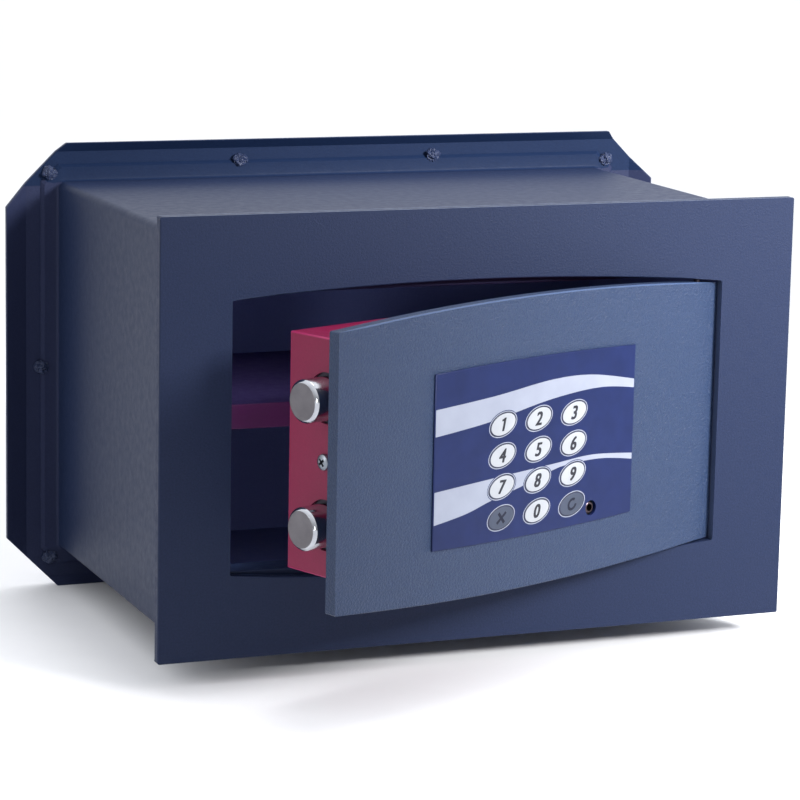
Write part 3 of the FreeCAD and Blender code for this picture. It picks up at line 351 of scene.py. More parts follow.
def lathe(profile, centre, axis, segments=96):
    """Turn (distance along the axis, radius) points into a closed round mesh."""
    mesh = bmesh.new()
    axis = Vector(axis).normalized()
    side = axis.orthogonal().normalized()
    other = axis.cross(side)
    rings = []
    for along, radius in profile:
        middle = Vector(centre) + axis * along
        if radius < 1e-7:
            rings.append([mesh.verts.new(middle)])
            continue
        rings.append([mesh.verts.new(middle + (side * math.cos(turn) + other * math.sin(turn)) * radius)
                      for turn in (2 * math.pi * step / segments for step in range(segments))])
    for before, after in zip(rings, rings[1:]):
        for step in range(segments):
            following = (step + 1) % segments
            corners = [before[step % len(before)], before[following % len(before)],
                       after[following % len(after)], after[step % len(after)]]
            corners = list(dict.fromkeys(corners))
            if len(corners) > 2:
                mesh.faces.new(corners)
    bmesh.ops.recalc_face_normals(mesh, faces=mesh.faces)
    for face in mesh.faces:
        face.smooth = True
    return mesh


def sharpen(piece, angle=38):
    """Keep creases sharper than the angle on a smooth piece."""
    piece.data.set_sharp_from_angle(angle=math.radians(angle))
    return piece


def ellipse(centre, halves, tilt=0.0, count=72):
    """Points round an oval whose long axis rises to the right by the tilt."""
    line = []
    for step in range(count):
        turn = 2 * math.pi * step / count
        along, off = halves[0] * math.cos(turn), halves[1] * math.sin(turn)
        line.append((centre[0] + along * math.cos(tilt) - off * math.sin(tilt),
                     centre[1] + along * math.sin(tilt) + off * math.cos(tilt)))
    return line


def in_ellipse(x, z, centre, halves, tilt=0.0):
    """Whether a place on the panel lies within a tilted oval."""
    across, up = x - centre[0], z - centre[1]
    along = across * math.cos(tilt) + up * math.sin(tilt)
    off = up * math.cos(tilt) - across * math.sin(tilt)
    return (along / halves[0]) ** 2 + (off / halves[1]) ** 2 < 1


def smooth_through(points, steps=12):
    """A smooth line through measured points, left to right."""
    line = []
    padded = [points[0]] + points + [points[-1]]
    for first, start, end, last in zip(padded, padded[1:], padded[2:], padded[3:]):
        for step in range(steps):
            share = step / steps
            line.append(tuple(
                0.5 * ((2 * start[axis]) + (end[axis] - first[axis]) * share
                       + (2 * first[axis] - 5 * start[axis] + 4 * end[axis] - last[axis]) * share ** 2
                       + (3 * start[axis] - first[axis] - 3 * end[axis] + last[axis]) * share ** 3)
                for axis in (0, 1)))
    return line + [points[-1]]


def height_at(line, x):
    """How high a left-to-right line stands at x."""
    for (x0, z0), (x1, z1) in zip(line, line[1:]):
        if x0 <= x <= x1 and x1 > x0:
            return z0 + (z1 - z0) * (x - x0) / (x1 - x0)
    return line[0][1] if x < line[0][0] else line[-1][1]


def islands(node, swings=False):
    """Lowest and highest corner of each separate solid in a node."""
    mesh = cad_copy(node, swings)
    left = set(mesh.verts)
    found = []
    while left:
        reached = {left.pop()}
        edge_of_search = list(reached)
        while edge_of_search:
            vertex = edge_of_search.pop()
            for edge in vertex.link_edges:
                other = edge.other_vert(vertex)
                if other in left:
                    left.discard(other)
                    reached.add(other)
                    edge_of_search.append(other)
        found.append(extent([vertex.co for vertex in reached]))
    mesh.free()
    return sorted(found, key=lambda box: (round(box[0].z, 4), round(box[0].x, 4)))


# ---------------------------------------------------------------- geometry trees

def new_tree(name, inputs):
    """An empty geometry tree with named inputs given as (name, kind, value)."""
    tree = bpy.data.node_groups.new(name, "GeometryNodeTree")
    tree.interface.new_socket("Geometry", in_out="INPUT", socket_type="NodeSocketGeometry")
    for label, kind, value in inputs:
        socket = tree.interface.new_socket(label, in_out="INPUT", socket_type=kind)
        if value is not None:
            socket.default_value = value
    tree.interface.new_socket("Geometry", in_out="OUTPUT", socket_type="NodeSocketGeometry")
    return tree


def socket_ids(tree):
    """The identifier of each named input of a geometry tree."""
    return {item.name: item.identifier for item in tree.interface.items_tree
            if item.item_type == "SOCKET" and item.in_out == "INPUT"}


def grown(tree, mesh, values):
    """Run a geometry tree on a mesh and return the result as plain mesh data."""
    carrier = placed("carrier", as_data("seed", mesh))
    modifier = carrier.modifiers.new("tree", "NODES")
    modifier.node_group = tree
    identifiers = socket_ids(tree)
    for label, value in values.items():
        modifier[identifiers[label]] = value
    result = evaluated(carrier, preserve_all_data_layers=True)
    bpy.data.objects.remove(carrier)
    return result


class Tree:
    """Short ways to add nodes and links to a geometry tree."""

    def __init__(self, name, inputs):
        self.tree = new_tree(name, inputs)
        self.given = self.tree.nodes.new("NodeGroupInput")
        self.out = self.tree.nodes.new("NodeGroupOutput")

    def add(self, kind, feeds=None, **settings):
        node = self.tree.nodes.new(kind)
        for label, value in settings.items():
            setattr(node, label, value)
        for socket, value in (feeds or {}).items():
            if isinstance(value, bpy.types.NodeSocket):
                self.tree.links.new(value, node.inputs[socket])
            else:
                node.inputs[socket].default_value = value
        return node

    def sum_up(self, operation, *terms):
        return self.add("ShaderNodeMath", dict(enumerate(terms)), operation=operation).outputs[0]

    def finish(self, geometry):
        self.tree.links.new(geometry, self.out.inputs[0])
        return self.tree


def button_tree():
    """An oval button with a flat front and a rounded edge, built round the origin and facing -Y."""
    made = Tree("oval_button", [("Half Width", "NodeSocketFloat", 0.0079),
                                ("Half Height", "NodeSocketFloat", 0.0056),
                                ("Depth", "NodeSocketFloat", 0.003), ("Edge", "NodeSocketFloat", 0.0004),
                                ("Finish", "NodeSocketMaterial", None)])
    given = made.given.outputs
    disc = made.add("GeometryNodeMeshCylinder", {"Vertices": 72, "Side Segments": 3, "Fill Segments": 14,
                                                 "Radius": 1.0, "Depth": 2.0}, fill_type="NGON")
    place = made.add("GeometryNodeInputPosition").outputs[0]
    split = made.add("ShaderNodeSeparateXYZ", {"Vector": place}).outputs
    flat = made.add("ShaderNodeCombineXYZ", {"X": split["X"], "Y": split["Y"]}).outputs[0]
    reach = made.add("ShaderNodeVectorMath", {0: flat}, operation="LENGTH").outputs["Value"]
    dip = made.sum_up("MULTIPLY", made.sum_up("POWER", reach, 12.0), given["Edge"])
    front = made.sum_up("GREATER_THAN", split["Z"], 0.5)
    back_out = made.sum_up("MULTIPLY", made.sum_up("SUBTRACT", 1.0, split["Z"]), 0.5)
    along = made.sum_up("ADD", made.sum_up("MULTIPLY", back_out, given["Depth"]),
                        made.sum_up("MULTIPLY", dip, front))
    shaped = made.add("ShaderNodeCombineXYZ", {
        "X": made.sum_up("MULTIPLY", split["X"], given["Half Width"]), "Y": along,
        "Z": made.sum_up("MULTIPLY", split["Y"], given["Half Height"])}).outputs[0]
    moved = made.add("GeometryNodeSetPosition", {"Geometry": disc.outputs["Mesh"], "Position": shaped})
    smooth = made.add("GeometryNodeSetShadeSmooth", {"Geometry": moved.outputs[0]})
    real = made.add("GeometryNodeRealizeInstances", {"Geometry": smooth.outputs[0]})
    painted = made.add("GeometryNodeSetMaterial", {"Geometry": real.outputs[0], "Material": given["Finish"]})
    return made.finish(painted.outputs[0])


def bead_tree():
    """Weld metal: a smooth lump made uneven by noise."""
    made = Tree("weld_bead", [("Unevenness", "NodeSocketFloat", 0.0008), ("Seed", "NodeSocketFloat", 7.0),
                              ("Finish", "NodeSocketMaterial", None)])
    given = made.given.outputs
    fine = made.add("GeometryNodeSubdivisionSurface", {"Mesh": given["Geometry"], "Level": 3})
    noise = made.add("ShaderNodeTexNoise", {"W": given["Seed"], "Scale": 380.0, "Detail": 3.0},
                     noise_dimensions="4D")
    lift = made.sum_up("MULTIPLY", made.sum_up("SUBTRACT", noise.outputs[0], 0.55), given["Unevenness"])
    normal = made.add("GeometryNodeInputNormal").outputs[0]
    offset = made.add("ShaderNodeVectorMath", {0: normal, "Scale": lift}, operation="SCALE").outputs[0]
    moved = made.add("GeometryNodeSetPosition", {"Geometry": fine.outputs[0], "Offset": offset})
    smooth = made.add("GeometryNodeSetShadeSmooth", {"Geometry": moved.outputs[0]})
    real = made.add("GeometryNodeRealizeInstances", {"Geometry": smooth.outputs[0]})
    painted = made.add("GeometryNodeSetMaterial", {"Geometry": real.outputs[0], "Material": given["Finish"]})
    return made.finish(painted.outputs[0])


def scatter_tree():
    """One copy of a shape at each vertex, each turned its own way about the shape's axis."""
    made = Tree("set_on_points", [("Shape", "NodeSocketObject", None), ("Facing", "NodeSocketRotation", None),
                                  ("Turn", "NodeSocketFloat", 0.785), ("Chance", "NodeSocketFloat", 1.0),
                                  ("Seed", "NodeSocketInt", 3), ("Finish", "NodeSocketMaterial", None)])
    given = made.given.outputs
    shape = made.add("GeometryNodeObjectInfo", {"Object": given["Shape"]})
    spin = made.add("FunctionNodeRandomValue", {"Seed": given["Seed"]}, data_type="FLOAT")
    angle = made.sum_up("ADD", made.sum_up("MULTIPLY", spin.outputs[1], given["Chance"]), given["Turn"])
    upright = made.add("ShaderNodeCombineXYZ", {"Z": angle})
    own_turn = made.add("FunctionNodeEulerToRotation", {0: upright.outputs[0]})
    turned = made.add("FunctionNodeRotateRotation",
                      {"Rotation": given["Facing"], "Rotate By": own_turn.outputs[0]},
                      rotation_space="LOCAL")
    points = made.add("GeometryNodeMeshToPoints", {"Mesh": given["Geometry"]})
    copies = made.add("GeometryNodeInstanceOnPoints",
                      {"Points": points.outputs[0], "Instance": shape.outputs["Geometry"],
                       "Rotation": turned.outputs[0]})
    real = made.add("GeometryNodeRealizeInstances", {"Geometry": copies.outputs[0]})
    painted = made.add("GeometryNodeSetMaterial", {"Geometry": real.outputs[0], "Material": given["Finish"]})
    return made.finish(painted.outputs[0])


# ---------------------------------------------------------------- body of the safe

def plates_and_shelf():
    """Sheet metal with rounded folds and edges."""
    front = softened("front_plate", "safe_body", "plate_paint", 0.6 * MM, 12 * MM,
                     edge=PLATE_EDGE_HIGHLIGHT, above=0.099)
    front.data.materials.append(LIT_OPENING_WALL)
    # the opening's right wall takes the lighter copy, a painted light
    for face in front.data.polygons:
        if face.normal.x < -0.6 and face.center.x > 0.11 and abs(face.center.z) < 0.09:
            face.material_index = 2
    rear_plate()
    stops = soften(cad_copy("door_stops"), 0.6 * MM, 5 * MM)
    # the upper stop takes the painted shade copy, the lower one the box paint
    for face in stops.faces:
        face.material_index = 1 if face.calc_center_median().z > 0 else 0
    own("door_stops_rounded", stops, [FINISHES["box_paint"], UPPER_STOP_PAINTED_SHADE], "safe_body",
        ["door_stops"])
    shelf = soften(cad_copy("shelf"), 0.5 * MM, 5 * MM)
    # the shelf's top faces take the painted light copy, all else the painted shade copy
    for face in shelf.faces:
        face.material_index = 1 if face.normal.z > 0.9 else 0
    own("shelf_rounded", shelf, [SHADED_SHELF_LIP, LIT_SHELF_TOP], "safe_body", ["shelf"])
    softened("door_plate", "door", "door_paint", 0.6 * MM, 12 * MM, swings=True, edge=DOOR_EDGE_HIGHLIGHT, above=0.055)
    lid_low, lid_high = islands("battery_lid", swings=True)[0]
    rails = (lid_low - Vector((6, 6, 6)) * MM, lid_high + Vector((36, 6, 6)) * MM)
    softened("lock_case", "door", "red_paint", 0.7 * MM, 12 * MM, swings=True, edge=CASE_EDGE_HIGHLIGHT, spared=rails)
    softened("keypad_frame", "door", "keypad_blue", 0.35 * MM, 12 * MM, swings=True)


def rear_plate():
    """The anchoring plate; the part of its face that closes the box takes a lighter copy of the paint, a
    painted light, and its rim's front takes painted shade on top and painted light at the sides.
    """
    mesh = soften(cad_copy("rear_plate"), 0.5 * MM, 2.5 * MM)
    half_width, half_height = 143.6 * MM, 89.9 * MM
    for place, normal in (((half_width, 0, 0), (1, 0, 0)), ((-half_width, 0, 0), (1, 0, 0)),
                          ((0, 0, half_height), (0, 0, 1)), ((0, 0, -half_height), (0, 0, 1))):
        bmesh.ops.bisect_plane(mesh, geom=list(mesh.verts) + list(mesh.edges) + list(mesh.faces), dist=1e-7,
                               plane_co=place, plane_no=normal)
    for face in mesh.faces:
        middle = face.calc_center_median()
        # the face inside the box takes the lighter copy of the box paint, a painted light
        if face.normal.y < -0.9 and abs(middle.x) < half_width and abs(middle.z) < half_height:
            face.material_index = 1
        # the rim's front faces: darker on top, a painted shade; lighter at the sides, a painted light
        elif face.normal.y < -0.5:
            face.material_index = 2 if middle.z > half_height else 3
    own("rear_plate_rounded", mesh, BOX_FINISHES, "safe_body", ["rear_plate"])


def rounded_loop(half_width, half_height, radius, steps=6):
    """Points round a rectangle with round corners, steps + 1 of them at each corner."""
    loop = []
    for side_x, side_z, start in ((1, 1, 0), (-1, 1, 90), (-1, -1, 180), (1, -1, 270)):
        middle = (side_x * (half_width - radius), side_z * (half_height - radius))
        for step in range(steps + 1):
            turn = math.radians(start + 90 * step / steps)
            loop.append((middle[0] + radius * math.cos(turn), middle[1] + radius * math.sin(turn)))
    return loop


def folded_box():
    """The box: a folded sheet with round folds, and a rim turned outwards at the rear."""
    low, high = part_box("box_shell")
    wall, rim_thick, fold, steps = 2 * MM, 2 * MM, 3.2 * MM, 6
    half_width, half_height = 145.65 * MM, 91.9 * MM
    outer = rounded_loop(half_width, half_height, fold, steps)
    inner = rounded_loop(half_width - wall, half_height - wall, fold - wall, steps)
    rim = []
    for number, (x, z) in enumerate(outer):
        corner, step = divmod(number, steps + 1)
        ends = [(high.x, half_height), (half_width, high.z)]
        if corner % 2:
            ends.reverse()
        share = step / steps
        edge_x = ends[0][0] + (ends[1][0] - ends[0][0]) * share
        edge_z = ends[0][1] + (ends[1][1] - ends[0][1]) * share
        rim.append((math.copysign(edge_x, x), math.copysign(edge_z, z)))
    bend = 1.6 * MM
    front, rear = low.y, high.y
    loops = [(inner, rear, 0.0), (inner, front, 0.0), (outer, front, 0.0),
             (outer, rear - rim_thick - bend, 0.0)]
    for step in range(1, 5):
        turn = math.radians(90 * step / 4)
        out = bend * (1 - math.cos(turn))
        loops.append((outer, rear - rim_thick - bend + bend * math.sin(turn), out))
    loops += [(rim, rear - rim_thick, -1.5 * MM), (rim, rear - 0.3 * MM, 0.0), (rim, rear, 0.0)]
    mesh = bmesh.new()
    rings = []
    for shape, y, out in loops:
        ring = []
        for x, z in shape:
            ring.append(mesh.verts.new((x + out * (1 if x > 0 else -1), y, z + out * (1 if z > 0 else -1))))
        rings.append(ring)
    count = len(outer)
    for before, after in zip(rings, rings[1:] + rings[:1]):
        for step in range(count):
            following = (step + 1) % count
            mesh.faces.new([before[step], before[following], after[following], after[step]])
    bmesh.ops.recalc_face_normals(mesh, faces=mesh.faces)
    for face in mesh.faces:
        face.smooth = True
        middle = face.calc_center_median()
        # inside faces take the lighter copy of the box paint, a painted light
        if abs(middle.x) < half_width - wall * 0.6 and abs(middle.z) < half_height - wall * 0.6:
            face.material_index = 1
        # the rim's front faces: darker on top, a painted shade; lighter at the sides, a painted light
        elif face.normal.y < -0.5 and middle.y > rear - rim_thick - bend:
            face.material_index = 2 if middle.z > half_height else 3
    sharpen(own("folded_box", mesh, BOX_FINISHES, "safe_body", ["box_shell"]), 30)


BEAD_STRETCH = Vector((1.35, 1.0, 1.15))
BEAD_UNEVENNESS = 0.0042


def welds():
    """Lumpy beads where the rear plate is welded to the rim."""
    beads = cad_copy("weld_spots")
    bmesh.ops.triangulate(beads, faces=beads.faces)
    for low, high in islands("weld_spots"):
        middle = (low + high) / 2
        for vertex in beads.verts:
            if all(low[axis] - 1e-6 <= vertex.co[axis] <= high[axis] + 1e-6 for axis in range(3)):
                across = vertex.co - middle
                vertex.co = middle + across * BEAD_STRETCH
    # the beads take the lighter copy of the box paint, a painted highlight
    data = grown(bead_tree(), beads, {"Unevenness": BEAD_UNEVENNESS, "Seed": 4.0, "Finish": LIGHTENED_WELD_PAINT})
    own_data("weld_beads", data, (), "safe_body", ["weld_spots"])


# ---------------------------------------------------------------- bolts and screws

def bolts():
    """Two turned bolts with a polished bevel at the end."""
    for name in ("bolt_upper", "bolt_lower"):
        mesh = cad_copy(name, swings=True)
        low, high = extent([vertex.co for vertex in mesh.verts])
        middle = (low + high) / 2
        radius = high.z - middle.z
        mesh.free()
        left = low.x
        long = high.x - left
        bevel, round_off = 1.4 * MM, 0.25 * MM
        profile = [(0.12 * MM, 0), (0.12 * MM, radius - bevel - 1.2 * MM), (0.0, radius - bevel - 0.7 * MM),
                   (0.0, radius - bevel - round_off), (0.06 * MM, radius - bevel),
                   (bevel * 0.5, radius - bevel * 0.5), (bevel, radius - 0.08 * MM),
                   (bevel + round_off, radius), (long - 0.5 * MM, radius),
                   (long, radius - 0.5 * MM), (long, 0)]
        turned = lathe(profile, (left, middle.y, middle.z), (1, 0, 0), 128)
        for face in turned.faces:
            if face.calc_center_median().x < left + 0.13 * MM:
                face.material_index = 1
        turned.transform(OPENED)
        sharpen(own(name + "_turned", turned, [FINISHES["bolt_chrome"], BOLT_END], "bolt_carriage",
                    [name]), 30)


def crossed_head(radius, thick):
    """A domed screw head with a cross-shaped recess, its axis along +Z and its seat at the origin."""
    profile = [(0, 0), (0, radius), (thick * 0.45, radius), (thick * 0.72, radius * 0.93),
               (thick * 0.92, radius * 0.72), (thick, radius * 0.42), (thick, 0)]
    mesh = lathe(profile, (0, 0, 0), (0, 0, 1), 48)
    head = placed("screw_shape", as_data("screw_shape", mesh))
    tool = bmesh.new()
    half, slot, deep = radius * 0.62, radius * 0.17, thick * 0.7
    for long_x, long_y in ((half, slot), (slot, half)):
        top = [tool.verts.new((x * long_x, y * long_y, thick * 1.3)) for x, y in SQUARE]
        foot = [tool.verts.new((x * long_x * 0.45, y * long_y * 0.7, thick - deep)) for x, y in SQUARE]
        tool.faces.new(top)
        tool.faces.new(foot[::-1])
        for step in range(4):
            following = (step + 1) % 4
            tool.faces.new([top[following], top[step], foot[step], foot[following]])
    bmesh.ops.recalc_face_normals(tool, faces=tool.faces)
    cutter = placed("recess", as_data("recess", tool))
    modifier = head.modifiers.new("recess", "BOOLEAN")
    modifier.object = cutter
    modifier.operation = "DIFFERENCE"
    modifier.use_self = True
    cut_data = evaluated(head)
    head.modifiers.clear()
    head.data = cut_data
    head.data.set_sharp_from_angle(angle=math.radians(35))
    bpy.data.objects.remove(cutter)
    return head


def screws():
    """Cross-head screws on the lock case."""
    scatter = scatter_tree()
    for node, body, facing in (("side_screw", "door", (-1, 0, 0)), ("case_screws", "door", (0, 1, 0)),
                               ("bolt_screws", "bolt_carriage", (1, 0, 0))):
        direction = Vector(facing)
        across = 0 if direction.x else 1
        seats = bmesh.new()
        shank = bmesh.new()
        for low, high in islands(node, swings=True):
            middle = (low + high) / 2
            radius = (high.z - low.z) / 2
            thick = 2.2 * MM if node != "bolt_screws" else 2.8 * MM
            tip = high[across] if direction[across] > 0 else low[across]
            seat = middle.copy()
            seat[across] = tip - direction[across] * thick
            seats.verts.new(seat)
            far = low[across] if direction[across] > 0 else high[across]
            reach = abs(seat[across] - far)
            rod = lathe([(0, 0), (0, radius * 0.55), (reach - 0.3 * MM, radius * 0.55),
                         (reach, radius * 0.4), (reach, 0)], seat, -direction, 24)
            shank.from_mesh(as_data("shank", rod))
        shape = crossed_head(radius, thick)
        places = [vertex.co.copy() for vertex in seats.verts]
        data = grown(scatter, seats, {"Shape": shape, "Facing": direction.to_track_quat("Z", "Y").to_euler(),
                                      "Turn": math.radians(40),
                                      "Chance": 0.0 if node == "side_screw" else 3.0, "Seed": 5,
                                      "Finish": FINISHES["zinc_steel"]})
        bpy.data.objects.remove(shape)
        joined = bmesh.new()
        joined.from_mesh(data)
        for face in joined.faces:
            middle = face.calc_center_median()
            seat = min(places, key=lambda place: (place - middle).length)
            along = (middle - seat).dot(direction)
            off = (middle - seat - direction * along).length
            # faces inside the cross recess take the dark navy, a painted shade
            if 0.05 * MM < along < thick * 0.86 and off < radius * 0.63:
                face.material_index = 1
        joined.from_mesh(as_data("shanks", shank))
        joined.transform(OPENED)
        sharpen(own(node + "_crossed", joined, [FINISHES["zinc_steel"], SCREW_RECESS_SHADE], body,
                    [node]), 35)


# ---------------------------------------------------------------- keypad

KEY_COLUMNS = (-22.6 * MM, 0.0, 22.6 * MM)
KEY_ROWS = (10.2 * MM, -3.85 * MM, -17.9 * MM, -31.95 * MM)
KEY_NAMES = (("1", "2", "3"), ("4", "5", "6"), ("7", "8", "9"), ("clear", "0", "reset"))
KEY_TILT = math.radians(14)
LEAN = 0.24
CAP = (8.15 * MM, 4.95 * MM)
DISC = (7.75 * MM, 4.5 * MM)
KEY_HOLE = (8.4 * MM, 5.2 * MM)
PALE_RING = (8.85 * MM, 5.6 * MM)
NAVY_RING = (9.2 * MM, 5.95 * MM)
JACK = (35.3 * MM, -35.5 * MM)
JACK_WELL = (3.5 * MM, 3.5 * MM)
BANDS = (
    # each pale band's upper and lower line, in millimetres across and up the keypad
    ([(-66, 21.2), (-28, 23.4), (8, 26.8), (35, 26.1), (66, 20.4)],
     [(-66, 9.2), (-31, 12.2), (8, 18.0), (40, 19.8), (66, 16.6)]),
    ([(-66, -15.2), (-30, -13.5), (10, -11.8), (36, -10.8), (66, -13.8)],
     [(-66, -30.0), (-45, -27.3), (-29.5, -23.5), (-8.5, -19.1), (8, -15.0), (20, -13.3),
      (42, -13.3), (66, -16.8)]),
)


def key_places():
    """Each key's name and the place of its middle on the panel."""
    for row, z in zip(KEY_NAMES, KEY_ROWS):
        for name, x in zip(row, KEY_COLUMNS):
            yield name, x, z


def printed_film():
    """The film on the keypad: navy, two pale bands, and a pale ring round each key."""
    left, right, bottom, top, rise, inset = -64.3, 62.2, -41.2, 37.0, 1.3, 0.5
    outline = []
    for z_side, z in ((-1, bottom + rise + inset), (1, top - rise - inset)):
        span = range(0, 25) if z_side < 0 else range(24, -1, -1)
        for step in span:
            across = left + inset + (right - left - 2 * inset) * step / 24
            bow = rise * (1 - ((across - (left + right) / 2) / ((right - left) / 2)) ** 2)
            outline.append((across * MM, (z + z_side * bow) * MM))
    bands = [[[(x * MM, z * MM) for x, z in smooth_through(line)] for line in pair] for pair in BANDS]
    loops = [outline]
    for _, x, z in key_places():
        loops += [ellipse((x, z), halves, KEY_TILT) for halves in (KEY_HOLE, PALE_RING, NAVY_RING)]
    loops.append(ellipse(JACK, JACK_WELL, count=48))
    corners, edges = [], []
    for loop in loops:
        start = len(corners)
        corners += [Vector(point) for point in loop]
        edges += [(start + step, start + (step + 1) % len(loop)) for step in range(len(loop))]
    for pair in bands:
        for line in pair:
            start = len(corners)
            corners += [Vector(point) for point in line]
            edges += [(start + step, start + step + 1) for step in range(len(line) - 1)]
    points, _, faces, *_ = delaunay_2d_cdt(corners, edges, [], 0, 1e-7)

    def within_outline(point):
        if not (left + inset) * MM < point.x < (right - inset) * MM:
            return False
        bow = rise * (1 - ((point.x / MM - (left + right) / 2) / ((right - left) / 2)) ** 2)
        return (bottom + rise + inset - bow) * MM < point.y < (top - rise - inset + bow) * MM

    mesh = bmesh.new()
    made = [mesh.verts.new((point.x, PANEL_FACE - 0.03 * MM, point.y)) for point in points]
    for face in faces:
        middle = sum((points[index] for index in face), Vector((0, 0))) / len(face)
        if not within_outline(middle) or in_ellipse(middle.x, middle.y, JACK, JACK_WELL):
            continue
        colour, hole = 0, False
        for pair in bands:
            if height_at(pair[1], middle.x) < middle.y < height_at(pair[0], middle.x):
                colour = 1
        for _, x, z in key_places():
            if in_ellipse(middle.x, middle.y, (x, z), KEY_HOLE, KEY_TILT):
                hole = True
            elif in_ellipse(middle.x, middle.y, (x, z), PALE_RING, KEY_TILT):
                colour = 1
            elif in_ellipse(middle.x, middle.y, (x, z), NAVY_RING, KEY_TILT):
                colour = 0
        if not hole:
            corners_3d = [made[index] for index in face]
            area = sum(points[a].x * points[b].y - points[b].x * points[a].y
                       for a, b in zip(face, list(face[1:]) + [face[0]]))
            mesh.faces.new(corners_3d if area > 0 else corners_3d[::-1]).material_index = colour
    loose = [vertex for vertex in mesh.verts if not vertex.link_faces]
    bmesh.ops.delete(mesh, geom=loose, context="VERTS")
    solid = bmesh.ops.extrude_face_region(mesh, geom=list(mesh.faces), use_keep_orig=True)
    for item in solid["geom"]:
        if isinstance(item, bmesh.types.BMVert):
            item.co.y += 0.05 * MM
    bmesh.ops.recalc_face_normals(mesh, faces=mesh.faces)
    mesh.transform(OPENED)
    own("keypad_film", mesh, [FINISHES["keypad_blue"], PALE_PRINT], "door")


NUMERAL_HEIGHT = 5.9 * MM
NUMERAL_NARROWING = 0.92
BOLD_SHIFTS = (
    # copies that thicken a numeral: millimetres across and up, and the share of its thickness behind
    (-0.3, 0.14, 0.0), (-0.15, -0.14, 0.006), (0.0, 0.14, 0.012), (0.15, -0.14, 0.018),
    (0.3, 0.14, 0.024), (0.3, -0.14, 0.03), (-0.3, -0.14, 0.036), (0.0, 0.0, 0.042),
)


def lettered(words, thick):
    """A numeral as a thin mesh, standing in the XZ plane about the origin and facing -Y."""
    curve = bpy.data.curves.new("numeral", "FONT")
    curve.body = words
    curve.size = 1.0
    curve.extrude = 0.01
    carrier = placed("numeral", curve)
    data = evaluated(carrier)
    bpy.data.objects.remove(carrier)
    mesh = bmesh.new()
    mesh.from_mesh(data)
    bmesh.ops.remove_doubles(mesh, verts=mesh.verts, dist=1e-5)
    low, high = extent([vertex.co for vertex in mesh.verts])
    middle = (low + high) / 2
    tall = NUMERAL_HEIGHT / (high.y - low.y)
    wide = tall * NUMERAL_NARROWING
    for vertex in mesh.verts:
        local = vertex.co - middle
        vertex.co = Vector((local.x * wide, -local.z / (high.z - low.z) * thick, local.y * tall))
    single = as_data("single", mesh)
    bold = bmesh.new()
    for across, up, deeper in BOLD_SHIFTS:
        start = len(bold.verts)
        bold.from_mesh(single)
        bold.verts.ensure_lookup_table()
        for vertex in bold.verts[start:]:
            vertex.co += Vector((across * MM, deeper * thick, up * MM))
    return bold


def bar(mesh, start, end, half, thick):
    """A flat stroke from start to end."""
    start, end = Vector(start), Vector(end)
    along = (end - start).normalized()
    side = Vector((-along.y, along.x)) * half
    flat = [start - side, end - side, end + side, start + side]
    front = [mesh.verts.new((p.x, -thick / 2, p.y)) for p in flat]
    back = [mesh.verts.new((p.x, thick / 2, p.y)) for p in flat]
    mesh.faces.new(front)
    mesh.faces.new(back[::-1])
    for step in range(4):
        following = (step + 1) % 4
        mesh.faces.new([front[following], front[step], back[step], back[following]])


def symbol(name, thick):
    """Plain signs drawn with strokes: the figure one, a cross and an open ring."""
    mesh = bmesh.new()
    if name == "1":
        bar(mesh, (0.4 * MM, -2.95 * MM), (0.4 * MM, 2.95 * MM), 0.66 * MM, thick)
        bar(mesh, (-1.3 * MM, 1.7 * MM), (0.4 * MM, 2.45 * MM), 0.52 * MM, thick * 0.9)
    elif name == "clear":
        bar(mesh, (-2.3 * MM, -2.3 * MM), (2.3 * MM, 2.3 * MM), 0.65 * MM, thick)
        bar(mesh, (-2.3 * MM, 2.3 * MM), (2.3 * MM, -2.3 * MM), 0.65 * MM, thick * 0.9)
    else:
        count = 20
        for step in range(count):
            ends = [math.radians(60 + 300 * (step + extra) / count) for extra in (0, 1)]
            bar(mesh, (2.3 * MM * math.cos(ends[0]), 2.3 * MM * math.sin(ends[0])),
                (2.3 * MM * math.cos(ends[1]), 2.3 * MM * math.sin(ends[1])), 0.6 * MM, thick)
    bmesh.ops.recalc_face_normals(mesh, faces=mesh.faces)
    return mesh


def keys():
    """Twelve oval keys, each with its numeral or sign."""
    tree = button_tree()
    for name, x, z in key_places():
        slot = "key_white" if name.isdigit() else "key_grey"
        body = "key_" + name
        cap_data = grown(tree, bmesh.new(), {"Half Width": CAP[0], "Half Height": CAP[1], "Depth": 3.0 * MM,
                                            "Edge": 0.3 * MM, "Finish": FINISHES[slot]})
        place = OPENED @ Matrix.Translation((x, KEY_FACE, z)) @ Matrix.Rotation(-KEY_TILT, 4, "Y")
        cap = bmesh.new()
        cap.from_mesh(cap_data)
        for face in cap.faces:
            middle = face.calc_center_median()
            face.material_index = 0 if in_ellipse(middle.x, middle.z, (0, 0), DISC) else 1
        cap.transform(place)
        bmesh.ops.recalc_face_normals(cap, faces=cap.faces)
        sharpen(own(body + "_cap", cap, [FINISHES[slot], RECESS_SHADE], body, [body]), 45)
        thick = 0.04 * MM
        print_mesh = symbol(name, thick) if name in ("1", "clear", "reset") else lettered(name, thick)
        for vertex in print_mesh.verts:
            vertex.co.x += vertex.co.z * LEAN
        print_mesh.transform(OPENED @ Matrix.Translation((x, KEY_FACE, z)))
        own(body + "_print", print_mesh, [NUMERAL_INK if name.isdigit() else SYMBOL_INK], body)


